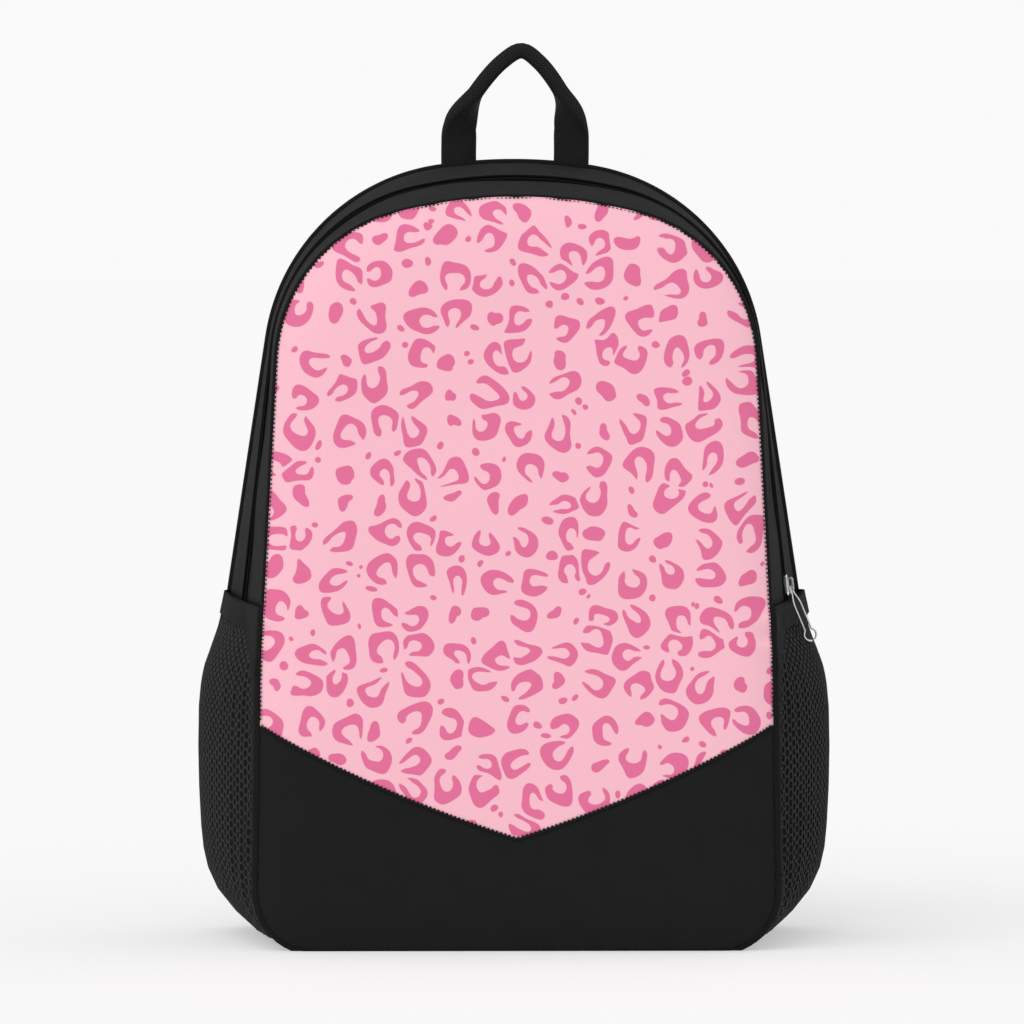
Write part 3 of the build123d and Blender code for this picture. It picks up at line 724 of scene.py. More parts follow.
def chevron_z(x):
    """Height of the V-shaped seam between print and foot: on each side an arc through three points."""
    x = abs(x)
    a, b, c = (0.0, CHEVRON_TIP), (CHEVRON_REACH * 0.44, CHEVRON_MID), (CHEVRON_REACH, CHEVRON_END)
    d = 2 * (a[0] * (b[1] - c[1]) + b[0] * (c[1] - a[1]) + c[0] * (a[1] - b[1]))
    sa, sb, sc = (p[0] ** 2 + p[1] ** 2 for p in (a, b, c))
    ux = (sa * (b[1] - c[1]) + sb * (c[1] - a[1]) + sc * (a[1] - b[1])) / d
    uz = (sa * (c[0] - b[0]) + sb * (a[0] - c[0]) + sc * (b[0] - a[0])) / d
    radius = math.hypot(a[0] - ux, a[1] - uz)
    lift = math.sqrt(max(radius**2 - (x - ux) ** 2, 0))
    return uz + lift if uz < b[1] else uz - lift


def front_y(x, z):
    """Depth of the stuffed front at a place."""
    away = from_front_edge(x, z)
    rise = 1 - math.exp(-away / (11 * MM))
    middle = Vector((x / HALF, 0, (z - 0.21) / 0.21))
    dome = max(1 - middle.length_squared, 0) * 1.6 * MM
    here = Vector((x, 0, z))
    soft = ruffle(here + Vector((3.1, 0, 1.7)), 70 * MM, 1.3 * MM) * rise
    pucker = ruffle(here + Vector((1.3, 5, 0)), 11 * MM, 0.5 * MM) * math.exp(-away / (9 * MM))
    pucker *= min(away / (2 * MM), 1)
    return PANEL_Y + 1 * MM - CROWN * rise - dome - soft - pucker


def crossing(low, high, is_below, tries):
    """Parameter between low and high at which is_below stops being true."""
    for _ in range(tries):
        mid = (low + high) / 2
        low, high = (mid, high) if is_below(mid) else (low, mid)
    return low


chevron_t = crossing(1.0, 5.0, lambda t: front_line.at(t)[1] < chevron_z(front_line.at(t)[0]), 50)
chevron_x = front_line.at(chevron_t)[0]


def spaced(points, count):
    """The same run with count evenly spaced points, as (x, z)."""
    fine = [Vector((x, z, 0)) for x, z in points]
    return [(p.x, p.y) for p in resample(fine, lengths(fine)[-1] / (count - 1))]


def outline_run(first, last, count):
    """Evenly spaced points on the right half of the front edge, as (x, z)."""
    return spaced([front_line.at(first + (last - first) * i / 400) for i in range(401)], count)


def front_patch(name, bottom, top, right, material, inset=0.9965, deep=0.0, thick=CLOTH):
    """Panel of the stuffed front, filled in between its four edges, or its lining, set in deeper."""
    columns, rows = len(bottom), len(right)
    left = [(-x, z) for x, z in right]
    corners = (bottom[0], bottom[-1], top[0], top[-1])

    def spot(i, j):
        u, v = i / (columns - 1), j / (rows - 1)
        result = []
        for axis in (0, 1):
            ruled = (1 - v) * bottom[i][axis] + v * top[i][axis]
            ruled += (1 - u) * left[j][axis] + u * right[j][axis]
            ruled -= (1 - u) * (1 - v) * corners[0][axis] + u * (1 - v) * corners[1][axis]
            ruled -= (1 - u) * v * corners[2][axis] + u * v * corners[3][axis]
            result.append(ruled)
        return result

    def place(i, j):
        x, z = spot(i, j)
        return Vector((x * inset, front_y(x, z) + deep, z))

    return thicken(finish_mesh(grid_mesh(columns, rows, place, spot), name, material), thick)


def whole(half, from_top):
    """A run through the middle of the front, from the half on its right."""
    left = [(-x, z) for x, z in half]
    return left[:-1] + half[::-1] if from_top else left[::-1] + half[1:]


HALF_COLUMNS, PRINT_ROWS, FOOT_ROWS = 60, 131, 51
COLUMNS = 2 * HALF_COLUMNS + 1
FOOT_T, CORNER_T = 1.5, 6.45  # where the front's grid has its lower and upper corners, on the outline
chevron_xs = [chevron_x * (i / HALF_COLUMNS - 1) for i in range(COLUMNS)]
chevron = spaced([(x, chevron_z(x)) for x in chevron_xs], COLUMNS)
side_run = outline_run(chevron_t, CORNER_T, PRINT_ROWS)
top_run = whole(outline_run(CORNER_T, 8, HALF_COLUMNS + 1), True)
foot_side = outline_run(FOOT_T, chevron_t, FOOT_ROWS)
floor_run = whole(outline_run(0, FOOT_T, HALF_COLUMNS + 1), False)

print_panel = front_patch("print_panel", chevron, top_run, side_run, print_cloth)
carried(print_panel, "printed_cloth", "print_panel_upper", "print_panel_lower", body="flap")
print_lining = front_patch(
    "print_lining", chevron, top_run, side_run, lining_cloth, inset=0.982, deep=2.7 * MM, thick=0.6 * MM
)
carried(print_lining, "lining", body="flap")
foot_panel = front_patch("foot_panel", floor_run, chevron, foot_side, black_cloth)
carried(foot_panel, "black_cloth", "front_foot_panel")


# ---- sides, base and gusset
def gusset_point(t, y):
    """Side cloth, a little drawn in at its seams and softly uneven."""
    here = body_point(t, y)
    near = min(y - FRONT_SEAM, BACK_SEAM - y)
    pucker = ruffle(here + Vector((0.4, 0, 0.9)), 9 * MM, 0.5 * MM) * math.exp(-near / (6 * MM))
    soft = ruffle(here + Vector((2.2, 1.1, 0)), 55 * MM, 1.6 * MM) * min(near / (18 * MM), 1)
    lift = pucker + soft
    if here.z < 8 * MM:
        lift = min(lift, 0) * 0.3
    return body_point(t, y, lift)


def steps(first, last, step):
    """Even values from first to last, about one step apart."""
    count = max(2, round(abs(last - first) / step))
    return [first + (last - first) * i / count for i in range(count + 1)]


STEP = 4 * MM
lower_half = stations(0, 5, STEP)
upper_loop = both_sides(stations(5, 8, STEP))


def gusset(name, us, first, last, material):
    return surface(name, us, steps(first, last, STEP), gusset_point, material, CLOTH)


lower_loop = [-t for t in reversed(lower_half)] + lower_half[1:]
sides_and_base = gusset("side_and_base", lower_loop, FRONT_SEAM, BACK_SEAM, black_cloth)
carried(sides_and_base, "black_cloth", "base_panel", "side_panel_right", "side_panel_left")
front_strip = gusset("front_strip", upper_loop, FRONT_SEAM, ZIP_Y - TAPE * 0.5, strip_cloth)
carried(front_strip, "black_cloth", "front_gusset", body="flap")
rear_strip = gusset("rear_strip", upper_loop, ZIP_Y + TAPE * 0.5, BACK_SEAM, strip_cloth)
carried(rear_strip, "black_cloth", "rear_gusset")


# ---- zip
TOOTH = Vector((0.85, 2.3, 1.1)) * MM
TOOTH_PITCH, STAGGER, SLIT = 1.45 * MM, 0.72 * MM, 1.2 * MM


def zip_run(y, out, step):
    """Run along the zip from its left foot over the top to its right foot."""
    return [body_point(t, y, out) for t in both_sides(stations(5, 8, step))]


def coil_tooth(bm):
    bmesh.ops.create_cube(bm, size=1)
    bmesh.ops.scale(bm, verts=bm.verts, vec=TOOTH)
    edges = bm.edges[:]
    bmesh.ops.bevel(bm, geom=edges, offset=0.3 * MM, segments=1, profile=0.5, affect="EDGES", material=-1)


def zip_side_pieces(side, sign, body):
    """Tape, teeth and a near-black bead of painted shade along the strip's edge, on one side of the zip, in
    front (-1) or behind (1).
    """
    first, last = sorted((ZIP_Y + sign * SLIT, ZIP_Y + sign * TAPE))
    tape = surface(
        "zip_tape_" + side + "_cloth",
        both_sides(stations(5, 8, 3 * MM)),
        steps(first, last, 3 * MM),
        lambda t, y: body_point(t, y, -1 * MM),
        tape_cloth,
        0.6 * MM,
    )
    carried(tape, "zip_tape", "zip_tape_" + side, body=body)

    path = resample(zip_run(ZIP_Y + sign * 1 * MM, -0.8 * MM, 0.5 * MM), TOOTH_PITCH)
    places = [frame_at(p, way, Vector((-way.z, 0, way.x))) for p, way in zip(path, directions(path))]
    if sign > 0:
        places = [place @ Matrix.Translation((STAGGER, 0, 0)) for place in places]
    coil = scatter("zip_coil_" + side + "_teeth", small_mesh(coil_tooth), places, coil_plastic)
    carried(coil, "zip_coil", "zip_coil_" + side, body=body)

    # near-black bead along the strip's edge: painted shade standing in for the shadowed gap beside the zip
    # tape
    painted_gap_shade_run = zip_run(ZIP_Y + sign * TAPE * 0.5, 0.15 * MM, 2.5 * MM)
    carried(tube("zip_painted_gap_shade_" + side, bead_rows(painted_gap_shade_run, 0.75 * MM), painted_gap_shade_cloth), "black_cloth", body=body)


zip_side_pieces("front", -1, "flap")
zip_side_pieces("rear", 1, "bag")

for side, sign in SIDES:
    tab = surface(
        "zip_end_" + side,
        [sign * t for t in steps(4.35, 5.0, 0.1)],
        steps(ZIP_Y - 9 * MM, ZIP_Y + 9 * MM, 1.5 * MM),
        lambda t, y: body_point(t, y, 1.4 * MM),
        black_cloth,
        1 * MM,
    )
    carried(tab, "black_cloth", "zip_end_tab_" + side)


# ---- piping
def piping(name, y, radius):
    """Bead that runs round the bag at depth y, resting on the floor at the foot."""
    run = [body_point(t, y, 0.2 * MM) for t in both_sides(stations(0, 8, 3 * MM))[:-1]]
    rows = [[Vector((p.x, p.y, max(p.z, 0))) for p in row] for row in bead_rows(run, radius)]
    return tube(name, rows, piping_cloth, closed=True)


front_bead = piping("piping_front_bead", FRONT_SEAM, 1.25 * MM)
carried(front_bead, "piping", "piping_front", "piping_flap", body="flap")
carried(piping("piping_back_bead", BACK_SEAM, 1.9 * MM), "piping", "piping_back")

# ---- seams of the print
chevron_run = [
    Vector((x, front_y(x, chevron_z(x)), chevron_z(x)))
    for x in steps(-chevron_x + 1 * MM, chevron_x - 1 * MM, 3 * MM)
]
carried(tube("chevron_seam", bead_rows(chevron_run, 0.9 * MM), piping_cloth), "piping")
sewn_chevron = resample([p + Vector((0, -0.3, 1.3)) * MM for p in chevron_run], 1 * MM)
carried(stitches("chevron_stitches", sewn_chevron, FORWARDS, 2.4 * MM, 1.5 * MM, 0.8 * MM), "piping")


def sewn_edge_point(x, z):
    """A place on the print's edge, brought a little inside it."""
    inward = Vector((-x, 0, 0.2 - z)).normalized() * 0.6 * MM
    x, z = x * 0.998 + inward.x, z + inward.z
    return Vector((x, front_y(x, z) - 0.2 * MM, z))


edge_run = [sewn_edge_point(x, z) for x, z in whole(outline_run(chevron_t + 0.02, 8, 400), True)]
edge_stitches = stitches("panel_stitches", edge_run, FORWARDS, 2.4 * MM, 1.5 * MM, 0.7 * MM)
carried(edge_stitches, "piping", body="flap")


# ---- side pockets
HEM_FRONT, HEM_REAR, HEM = 185 * MM, 189 * MM, 12 * MM
NET_MAX = 175.3 * MM
POCKET_FRONT, POCKET_REAR = FRONT_SEAM + 1.5 * MM, BACK_SEAM - 1.5 * MM
# height in metres, and how far the pocket stays behind its fullest in mm
behind_at = (
    (0.003, 31.7),
    (0.014, 19.6),
    (0.0255, 10.4),
    (0.037, 5.1),
    (0.048, 2.6),
    (0.060, 1.4),
    (0.082, 0.3),
    (0.104, 0.0),
    (0.126, 0.6),
    (0.138, 1.9),
    (0.149, 3.7),
    (0.160, 6.7),
    (0.1715, 11.0),
    (0.190, 16.0),
)


def edge_half(line, z):
    """Half width of an outline at a height."""
    return line.at(crossing(0.8, 5.5, lambda t: line.at(t)[1] < z, 40))[0]


def behind(z):
    """How far the pocket stays behind its fullest, from the table."""
    for (z0, b0), (z1, b1) in zip(behind_at, behind_at[1:]):
        if z <= z1:
            share = min(max((z - z0) / (z1 - z0), 0), 1)
            return (b0 + (b1 - b0) * share) * MM
    return behind_at[-1][1] * MM


pocket_rows = {}


def pocket_point(s, z, out=0.0):
    """Right-hand pocket: s runs from its front edge (0) to its rear edge (1)."""
    key = round(z, 5)
    if key not in pocket_rows:
        x_front = edge_half(front_line, z) + 0.8 * MM
        x_rear = edge_half(rear_line, z) + 0.8 * MM
        x_max = max(NET_MAX - behind(z), x_rear + 1 * MM)
        pocket_rows[key] = (x_front, x_rear, x_max)
    x_front, x_rear, x_max = pocket_rows[key]
    rise = s * math.sqrt(max(1 - s, 0)) / 0.385
    peak = x_max - (x_front + (x_rear - x_front) * 0.7)
    x = x_front + (x_rear - x_front) * s + peak * rise
    y = POCKET_FRONT + (POCKET_REAR - POCKET_FRONT) * s
    return Vector((x + out, y, z))


def gather_at(s, z):
    """Folds where the net is drawn up against the front seam, and softer ones further back."""
    folds = math.sin(z * 2 * math.pi / (7.5 * MM) + ruffle(Vector((0, 0, z)), 30 * MM, 5.0))
    pleats = math.sin(s * 2 * math.pi * 9 + ruffle(Vector((s, 0, z)), 40 * MM, 4.0))
    fade = min(s / 0.02, 1)
    return (folds * math.exp(-s / 0.05) * 0.9 * MM + pleats * math.exp(-s / 0.25) * 0.7 * MM) * fade


def drawn_in(s, z):
    """How far the elastic draws the mouth of the pocket in towards the side."""
    return -3 * MM * eased(z, 140 * MM, 175 * MM) * min(s / 0.15, (1 - s) / 0.15, 1)


def hem_z(s, down):
    return HEM_FRONT + (HEM_REAR - HEM_FRONT) * s - down


def hex_net(width, height, cell_wide, cell_high, strand):
    """Flat net of six-sided holes, its corner at the origin."""
    bm = bmesh.new()
    bmesh.ops.create_circle(bm, cap_ends=True, segments=6, radius=1.0)
    bmesh.ops.scale(bm, verts=bm.verts, vec=(cell_wide / 2, cell_high / math.sqrt(3), 1))
    pitch_x = cell_wide * 0.75

    def repeated(offsets):
        faces = bm.faces[:]
        for offset in offsets:
            made = bmesh.ops.duplicate(bm, geom=faces)["geom"]
            moved = [g for g in made if isinstance(g, bmesh.types.BMVert)]
            bmesh.ops.translate(bm, verts=moved, vec=offset)

    repeated([(0, row * cell_high, 0) for row in range(1, int(height / cell_high) + 1)])
    repeated([(k * pitch_x, (k % 2) * cell_high / 2, 0) for k in range(1, int(width / pitch_x) + 1)])
    bmesh.ops.remove_doubles(bm, verts=bm.verts, dist=0.05 * MM)
    bmesh.ops.recalc_face_normals(bm, faces=bm.faces)
    holes = bm.faces[:]
    bmesh.ops.inset_individual(bm, faces=holes, thickness=strand / 2, use_even_offset=True)
    bmesh.ops.delete(bm, geom=holes, context="FACES_ONLY")
    return bm


NET_LOW = 4 * MM
NET_HIGH = HEM_REAR - HEM + 3 * MM
NET_WIDTH = (POCKET_REAR - POCKET_FRONT) * 1.06
CELL_WIDE, CELL_HIGH, STRAND = 6.4 * MM, 5 * MM, 0.9 * MM
UNDER_HEM = HEM - 2 * MM


def drawn_point(s, z, sign, out=0.0):
    """Point on one pocket's gathered and drawn-in net."""
    point = pocket_point(s, z, gather_at(s, z) + drawn_in(s, z) + out)
    point.x *= sign
    return point


def pocket(side, sign):
    """Net, a dark sheet just inside it painted as the shade within the pocket, and the elastic hem of one
    side pocket.
    """
    bm = hex_net(NET_WIDTH, NET_HIGH - NET_LOW, CELL_WIDE, CELL_HIGH, STRAND)
    gone = []
    for vert in bm.verts:
        s = min(max(vert.co.x / NET_WIDTH, 0), 1)
        z = NET_LOW + vert.co.y
        limit = hem_z(s, UNDER_HEM)
        if z > limit + 3 * MM:
            gone.append(vert)
        vert.co = drawn_point(s, max(min(z, limit), NET_LOW), sign)
    bmesh.ops.delete(bm, geom=gone, context="VERTS")
    net = thicken(finish_mesh(bm, "net_" + side, net_yarn), 0.5 * MM)
    carried(net, "pocket_net", "pocket_net_" + side)

    # dark sheet just inside the net, following it: painted shade for the inside of the pocket
    def pocket_shade_point(s, share):
        return drawn_point(s, NET_LOW + (hem_z(s, UNDER_HEM) - NET_LOW) * share, sign, -0.7 * MM)

    shares = steps(0, 1, 0.012)
    pocket_shade_sheet = surface("painted_pocket_shade_" + side, shares, shares, pocket_shade_point, painted_pocket_shade_cloth, 0.3 * MM)
    carried(pocket_shade_sheet, "pocket_net")

    def hem_point(s, down):
        z = hem_z(s, down)
        gather = ruffle(Vector((s * 9, 0, 0)), 1.0, 0.7)
        middle = math.sin(math.pi * min(max(down / HEM, 0), 1))
        point = pocket_point(s, z, (0.8 + gather * middle * 0.6) * MM + drawn_in(s, z))
        point.x *= sign
        return point

    along, down = steps(0, 1, 0.008), steps(0, HEM, 1.4 * MM)
    hem = surface("hem_" + side, along, down, hem_point, elastic_cloth, 1.4 * MM)
    carried(hem, "elastic", "pocket_hem_" + side)


for side, sign in SIDES:
    pocket(side, sign)

# ---- grab handle
HANDLE_Y = BACK_SEAM + 1 * MM
handle_path = [
    Vector((x * MM, HANDLE_Y, z * MM))
    for x, z in (
        (-30.4, 424),
        (-30.4, 437),
        (-29.6, 449),
        (-24.6, 461),
        (-16.6, 473),
        (-6.5, 484),
        (4.6, 490.5),
        (14.6, 484),
        (23.4, 473),
        (29.8, 461),
        (32.2, 449),
        (32.6, 437),
        (32.4, 424),
    )
]
HANDLE_HALF = 9.8 * MM
TWIST_LOW, TWIST_HIGH = 436 * MM, 470 * MM  # the webbing turns edge-on between these heights
HANDLE_SECTION = (
    (1, 0.35), (0.9, 1), (0, 1.05), (-0.9, 1), (-1, 0.35),
    (-1, -0.35), (-0.9, -1), (0, -1.05), (0.9, -1), (1, -0.35),
)


def handle_row(p, way):
    """Section of the handle's webbing, flat at its legs and turned edge-on over the top."""
    turned = eased(p.z, TWIST_LOW, TWIST_HIGH) * math.pi / 2
    across = REARWARDS.cross(way).normalized() * math.cos(turned) + REARWARDS * math.sin(turned)
    face = way.cross(across).normalized()
    thick = (2.2 + 2.0 * math.sin(turned)) * MM
    return [p + across * a * HANDLE_HALF + face * b * thick for a, b in HANDLE_SECTION]


handle_run = resample(smooth_run(handle_path), 2.2 * MM)
handle_rows = [handle_row(p, way) for p, way in zip(handle_run, directions(handle_run))]
carried(tube("handle_loop", handle_rows, webbing), "webbing", "grab_handle", body="handle")

# ---- back, outside and inside
back_edge = [rear_line.at(t) for t in stations(0, 8, 3 * MM)]
back_edge = [(-x, z) for x, z in back_edge] + [(x, z) for x, z in reversed(back_edge[:-1])][:-1]
from_back_edge = distance_to(back_edge)


def sheet_in_outline(name, depth_at, inset, material, thickness, rings=24):
    """Flat cloth that fills the rear outline, drawn in by inset."""
    middle = Vector((0, 0.21))
    loop = [Vector((x, max(z, 0.4 * MM))) for x, z in back_edge]

    def place(i, j):
        edge = loop[i % len(loop)]
        reach = (edge - middle).length
        share = (1 - (j / rings) ** 1.2) * (1 - inset / reach)
        flat = middle + (edge - middle) * share
        return Vector((flat.x, depth_at(flat.x, flat.y), flat.y))

    bm = grid_mesh(len(loop) + 1, rings + 1, place, lambda i, j: (place(i, j).x, place(i, j).z))
    bmesh.ops.remove_doubles(bm, verts=bm.verts, dist=0.02 * MM)
    return thicken(finish_mesh(bm, name, material), thickness, 0)


def back_depth(x, z):
    rise = 1 - math.exp(-from_back_edge(x, z) / (5 * MM))
    soft = ruffle(Vector((x, 1.3, z)), 45 * MM, 0.35 * MM)
    return BACK_SEAM + 0.9 * MM + 1.3 * MM * rise + soft * rise


LINING_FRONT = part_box("back_lining")[0].y


def lining_depth(x, z):
    return LINING_FRONT + 0.5 * MM + ruffle(Vector((x, 4.2, z)), 50 * MM, 0.6 * MM)


def foam_depth(x, z):
    return (LINING_FRONT + BACK_SEAM) / 2 + 1.3 * MM + ruffle(Vector((x, 2.2, z)), 60 * MM, 0.2 * MM)


back_sheet = sheet_in_outline("back_cloth", back_depth, 0.6 * MM, black_cloth, 1 * MM)
carried(back_sheet, "black_cloth", "back_panel")
lining_sheet = sheet_in_outline("lining_sheet", lining_depth, 5.5 * MM, lining_cloth, 0.5 * MM)
carried(lining_sheet, "lining", "back_lining")
foam_sheet = sheet_in_outline("foam_sheet", foam_depth, 6.5 * MM, foam_look, 3.6 * MM)
carried(foam_sheet, "foam", "back_foam")

sleeve_low, sleeve_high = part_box("inner_sleeve")
sleeve_half = sleeve_high.x


def sleeve_point(u, v):
    """Open pocket sewn on the lining: u goes across from seam to seam, v from its foot to its hem."""
    gap = (LINING_FRONT - sleeve_low.y - 1 * MM) * min(1.0, 6 * v + 0.15)
    run = 2 * sleeve_half
    x = (u - 0.5) * run
    side = min(u, 1 - u) * run / (14 * MM)
    ahead = gap * min(1.0, side) ** 0.6
    sag = math.sin(math.pi * u) * v**2 * 2.5 * MM
    z = sleeve_low.z + (sleeve_high.z - sleeve_low.z) * v - sag
    y = LINING_FRONT - 0.3 * MM - ahead + ruffle(Vector((x, 7.7, z)), 40 * MM, 0.5 * MM) * min(side, 1)
    return Vector((x, y, z))


sleeve = surface("sleeve_cloth", steps(0, 1, 0.02), steps(0, 1, 0.02), sleeve_point, lining_cloth, 0.6 * MM)
carried(sleeve, "lining", "inner_sleeve")
hem_share = 16 * MM / (sleeve_high.z - sleeve_low.z)


def sleeve_hem_point(u, v):
    return sleeve_point(u, 1 - hem_share * (1 - v)) - Vector((0, 0.7 * MM, 0))


band_us, band_vs = steps(0.005, 0.995, 0.02), steps(0, 1, 0.2)
sleeve_band = surface("sleeve_band", band_us, band_vs, sleeve_hem_point, piping_cloth, 0.5 * MM)
carried(sleeve_band, "piping", "sleeve_hem")


# ---- padded pieces
VOXEL, AIR, FRAMES = 3.5 * MM, 4.0, 20


def swollen(obj, seam, cap, back_y=None):
    """Fills a padded piece with air. Its sewn seam stays, and no point moves further than cap."""
    remesh = obj.modifiers.new("even", "REMESH")
    remesh.mode = "VOXEL"
    remesh.voxel_size = VOXEL
    remesh.use_smooth_shade = True
    apply_all(obj)
    start = [v.co.copy() for v in obj.data.vertices]
    held = obj.vertex_groups.new(name="seam")
    held.add([v.index for v in obj.data.vertices if seam(v.co)], 1.0, "REPLACE")
    cloth = obj.modifiers.new("air", "CLOTH")
    cloth.settings.vertex_group_mass = "seam"
    cloth.settings.use_pressure = True
    cloth.settings.uniform_pressure_force = AIR
    cloth.settings.effector_weights.gravity = 0
    cloth.settings.quality = 5
    cloth.point_cache.frame_start = 1
    cloth.point_cache.frame_end = FRAMES
    for number in range(1, FRAMES + 1):
        bpy.context.scene.frame_set(number)
    apply_all(obj)
    bpy.context.scene.frame_set(1)
    obj.vertex_groups.clear()
    for vert, was in zip(obj.data.vertices, start):
        moved = vert.co - was
        if moved.length > cap:
            vert.co = was + moved.normalized() * cap
        if back_y is not None:
            vert.co.y = max(vert.co.y, back_y)
    smooth = obj.modifiers.new("soft", "SUBSURF")
    smooth.levels = 1
    smooth.render_levels = 1
    apply_all(obj)
    for polygon in obj.data.polygons:
        polygon.use_smooth = True


def mirrored(obj, name):
    """The same piece on the other side of the bag."""
    bm = bmesh.new()
    bm.from_mesh(obj.data)
    bmesh.ops.scale(bm, verts=bm.verts, vec=(-1, 1, 1))
    return finish_mesh(bm, name, obj.data.materials[0])


def pad_outline(low, high, radius, count=10):
    """Rounded rectangle between two corners, upright and facing rearwards."""
    points = []
    right, left, top, foot = high.x - radius, low.x + radius, high.z - radius, low.z + radius
    for turn, x, z in ((0, right, top), (1, left, top), (2, left, foot), (3, right, foot)):
        for k in range(count + 1):
            angle = math.pi / 2 * (turn + k / count)
            points.append(Vector((x + radius * math.cos(angle), 0, z + radius * math.sin(angle))))
    return points


def pad_start(name, low, high, outline):
    """Pad before it is filled: a domed form with a thin sewn edge, lying on the back."""
    thick = (high.y - BACK_FACE) / MM
    middle = (low + high) / 2
    rows = []
    dome = ((1, 0.2), (1, 1.4), (0.985, 2.0), (0.95, 3.6), (0.90, thick - 1.6), (0.8, thick - 1.0))
    for shrink, out in dome:
        row = []
        for p in outline:
            edge = Vector((p.x - middle.x, 0, p.z - middle.z))
            pull = (1 - shrink) * (high.x - low.x) / 2
            q = edge * (1 - pull / edge.length)
            row.append(Vector((middle.x + q.x, BACK_FACE + out * MM, middle.z + q.z)))
        rows.append(row)
    return tube(name, rows, air_mesh)


def quilting(distance, at, width):
    """Depth of a sewn groove, at some distance in from the edge."""
    return math.exp(-(((distance - at) / width) ** 2)) * 1.2 * MM


def back_pad(name, node):
    low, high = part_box(node)
    outline = pad_outline(low, high, 16 * MM)
    pad = pad_start(name, low, high, outline)
    dense = resample(outline + outline[:1], 3 * MM)
    from_edge = distance_to([(p.x, p.z) for p in dense])
    swollen(
        pad,
        lambda co: from_edge(co.x, co.z) < 4.5 * MM or co.y < BACK_FACE + 1.2 * MM,
        2.5 * MM,
        BACK_FACE + 0.1 * MM,
    )
    for vert in pad.data.vertices:
        if vert.co.y > BACK_FACE + 2 * MM:
            vert.co.y -= quilting(from_edge(vert.co.x, vert.co.z), 9 * MM, 2 * MM)
        vert.co.y = min(vert.co.y, high.y + 1 * MM)
    carried(pad, "air_mesh", node)

    centre = (low + high) / 2
    seam_run = []
    for p in dense[:-1]:
        inward = Vector((centre.x - p.x, 0, centre.z - p.z)).normalized() * 1 * MM
        seam_run.append(Vector((p.x, BACK_FACE + 1.5 * MM, p.z)) + inward)
    rows = bead_rows(seam_run, 1.5 * MM, closed=True)
    carried(tube(name + "_edge", rows, piping_cloth, closed=True), "piping")


back_pad("pad_right", "back_pad_right")
back_pad("pad_left", "back_pad_left")
back_pad("pad_lumbar", "lumbar_pad")

# ---- yoke and handle feet
yoke_low, yoke_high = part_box("strap_yoke")


def patch(name, corners, out, material, thickness=1.2 * MM, lift=0.25 * MM):
    """Four-cornered piece of cloth sewn flat on the back, corners given as (x, z) anticlockwise."""
    a, b, c, d = (Vector((x, z, 0)) for x, z in corners)
    nu = max(4, round(max((b - a).length, (c - d).length) / (2 * MM)))
    nv = max(4, round(max((d - a).length, (c - b).length) / (2 * MM)))

    def point(u, v):
        p = (a.lerp(b, u)).lerp(d.lerp(c, u), v)
        edge = min(u * nu, (1 - u) * nu, v * nv, (1 - v) * nv)
        soft = ruffle(Vector((p.x, 0.4, p.y)), 12 * MM, lift)
        return Vector((p.x, BACK_FACE + out + soft - math.exp(-edge) * 0.5 * MM, p.y))

    return surface(name, steps(0, 1, 1 / nu), steps(0, 1, 1 / nv), point, material, thickness)


def inside(low, high, by):
    """Corners of a box on the back, drawn in by some distance."""
    left, right, foot, top = low.x + by, high.x - by, low.z + by, high.z - by
    return (left, foot), (right, foot), (right, top), (left, top)


def box_stitches(name, corners):
    """Row of sewing round a box on a piece that is sewn to the back."""
    spots = [Vector((x, BACK_FACE + 1.75 * MM, z)) for x, z in corners]
    carried(stitches(name + "_box", resample([*spots, spots[0]], 2 * MM), REARWARDS), "piping")


yoke = patch("yoke", inside(yoke_low, yoke_high, 0), 1.5 * MM, black_cloth)
carried(yoke, "black_cloth", "strap_yoke")
box_stitches("yoke", inside(yoke_low, yoke_high, 2.5 * MM))
for side, _ in SIDES:
    node = "handle_foot_" + side
    foot_low, foot_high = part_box(node)
    foot = patch(node + "_web", inside(foot_low, foot_high, 0), 1.5 * MM, webbing, lift=0.1 * MM)
    carried(foot, "webbing", node)
    box_stitches(node, inside(foot_low, foot_high, 3 * MM))

# ---- shoulder straps
STRAP_TOP = Vector((0, 63.85, 399)) * MM
STRAP_DROP = STRAP_TOP.z - 133.964 * MM
STRAP_SWELL = 27.5 * MM
STRAP_THICK = 12 * MM
STRAP_HALF = 31 * MM
# share of the drop, place of the middle in mm, share of the swell, share of the half width
STRAP_STEPS = (
    (0.00, 46.0, 0.00, 0.97),
    (0.10, 48.0, 0.30, 0.98),
    (0.26, 58.0, 0.70, 1.00),
    (0.48, 72.0, 1.00, 1.00),
    (0.71, 80.0, 0.96, 0.93),
    (0.88, 82.0, 0.72, 0.80),
    (1.00, 82.0, 0.46, 0.61),
)


def strap_at(drop):
    """Middle, swell and half width of the right strap at a share of its drop."""
    values = [Vector((across, out, share)) for _, across, out, share in STRAP_STEPS]
    marks = [step[0] for step in STRAP_STEPS]
    k = 0
    while k < len(marks) - 2 and marks[k + 1] < drop:
        k += 1
    span = marks[k + 1] - marks[k]
    t = (drop - marks[k]) / span
    before = (values[k + 1] - values[max(k - 1, 0)]) / (marks[k + 1] - marks[max(k - 1, 0)]) * span
    last = min(k + 2, len(marks) - 1)
    after = (values[last] - values[k]) / (marks[last] - marks[k]) * span
    p = (2 * t**3 - 3 * t**2 + 1) * values[k] + (t**3 - 2 * t**2 + t) * before
    p += (-2 * t**3 + 3 * t**2) * values[k + 1] + (t**3 - t**2) * after
    return p.x * MM, p.y * STRAP_SWELL, p.z * STRAP_HALF


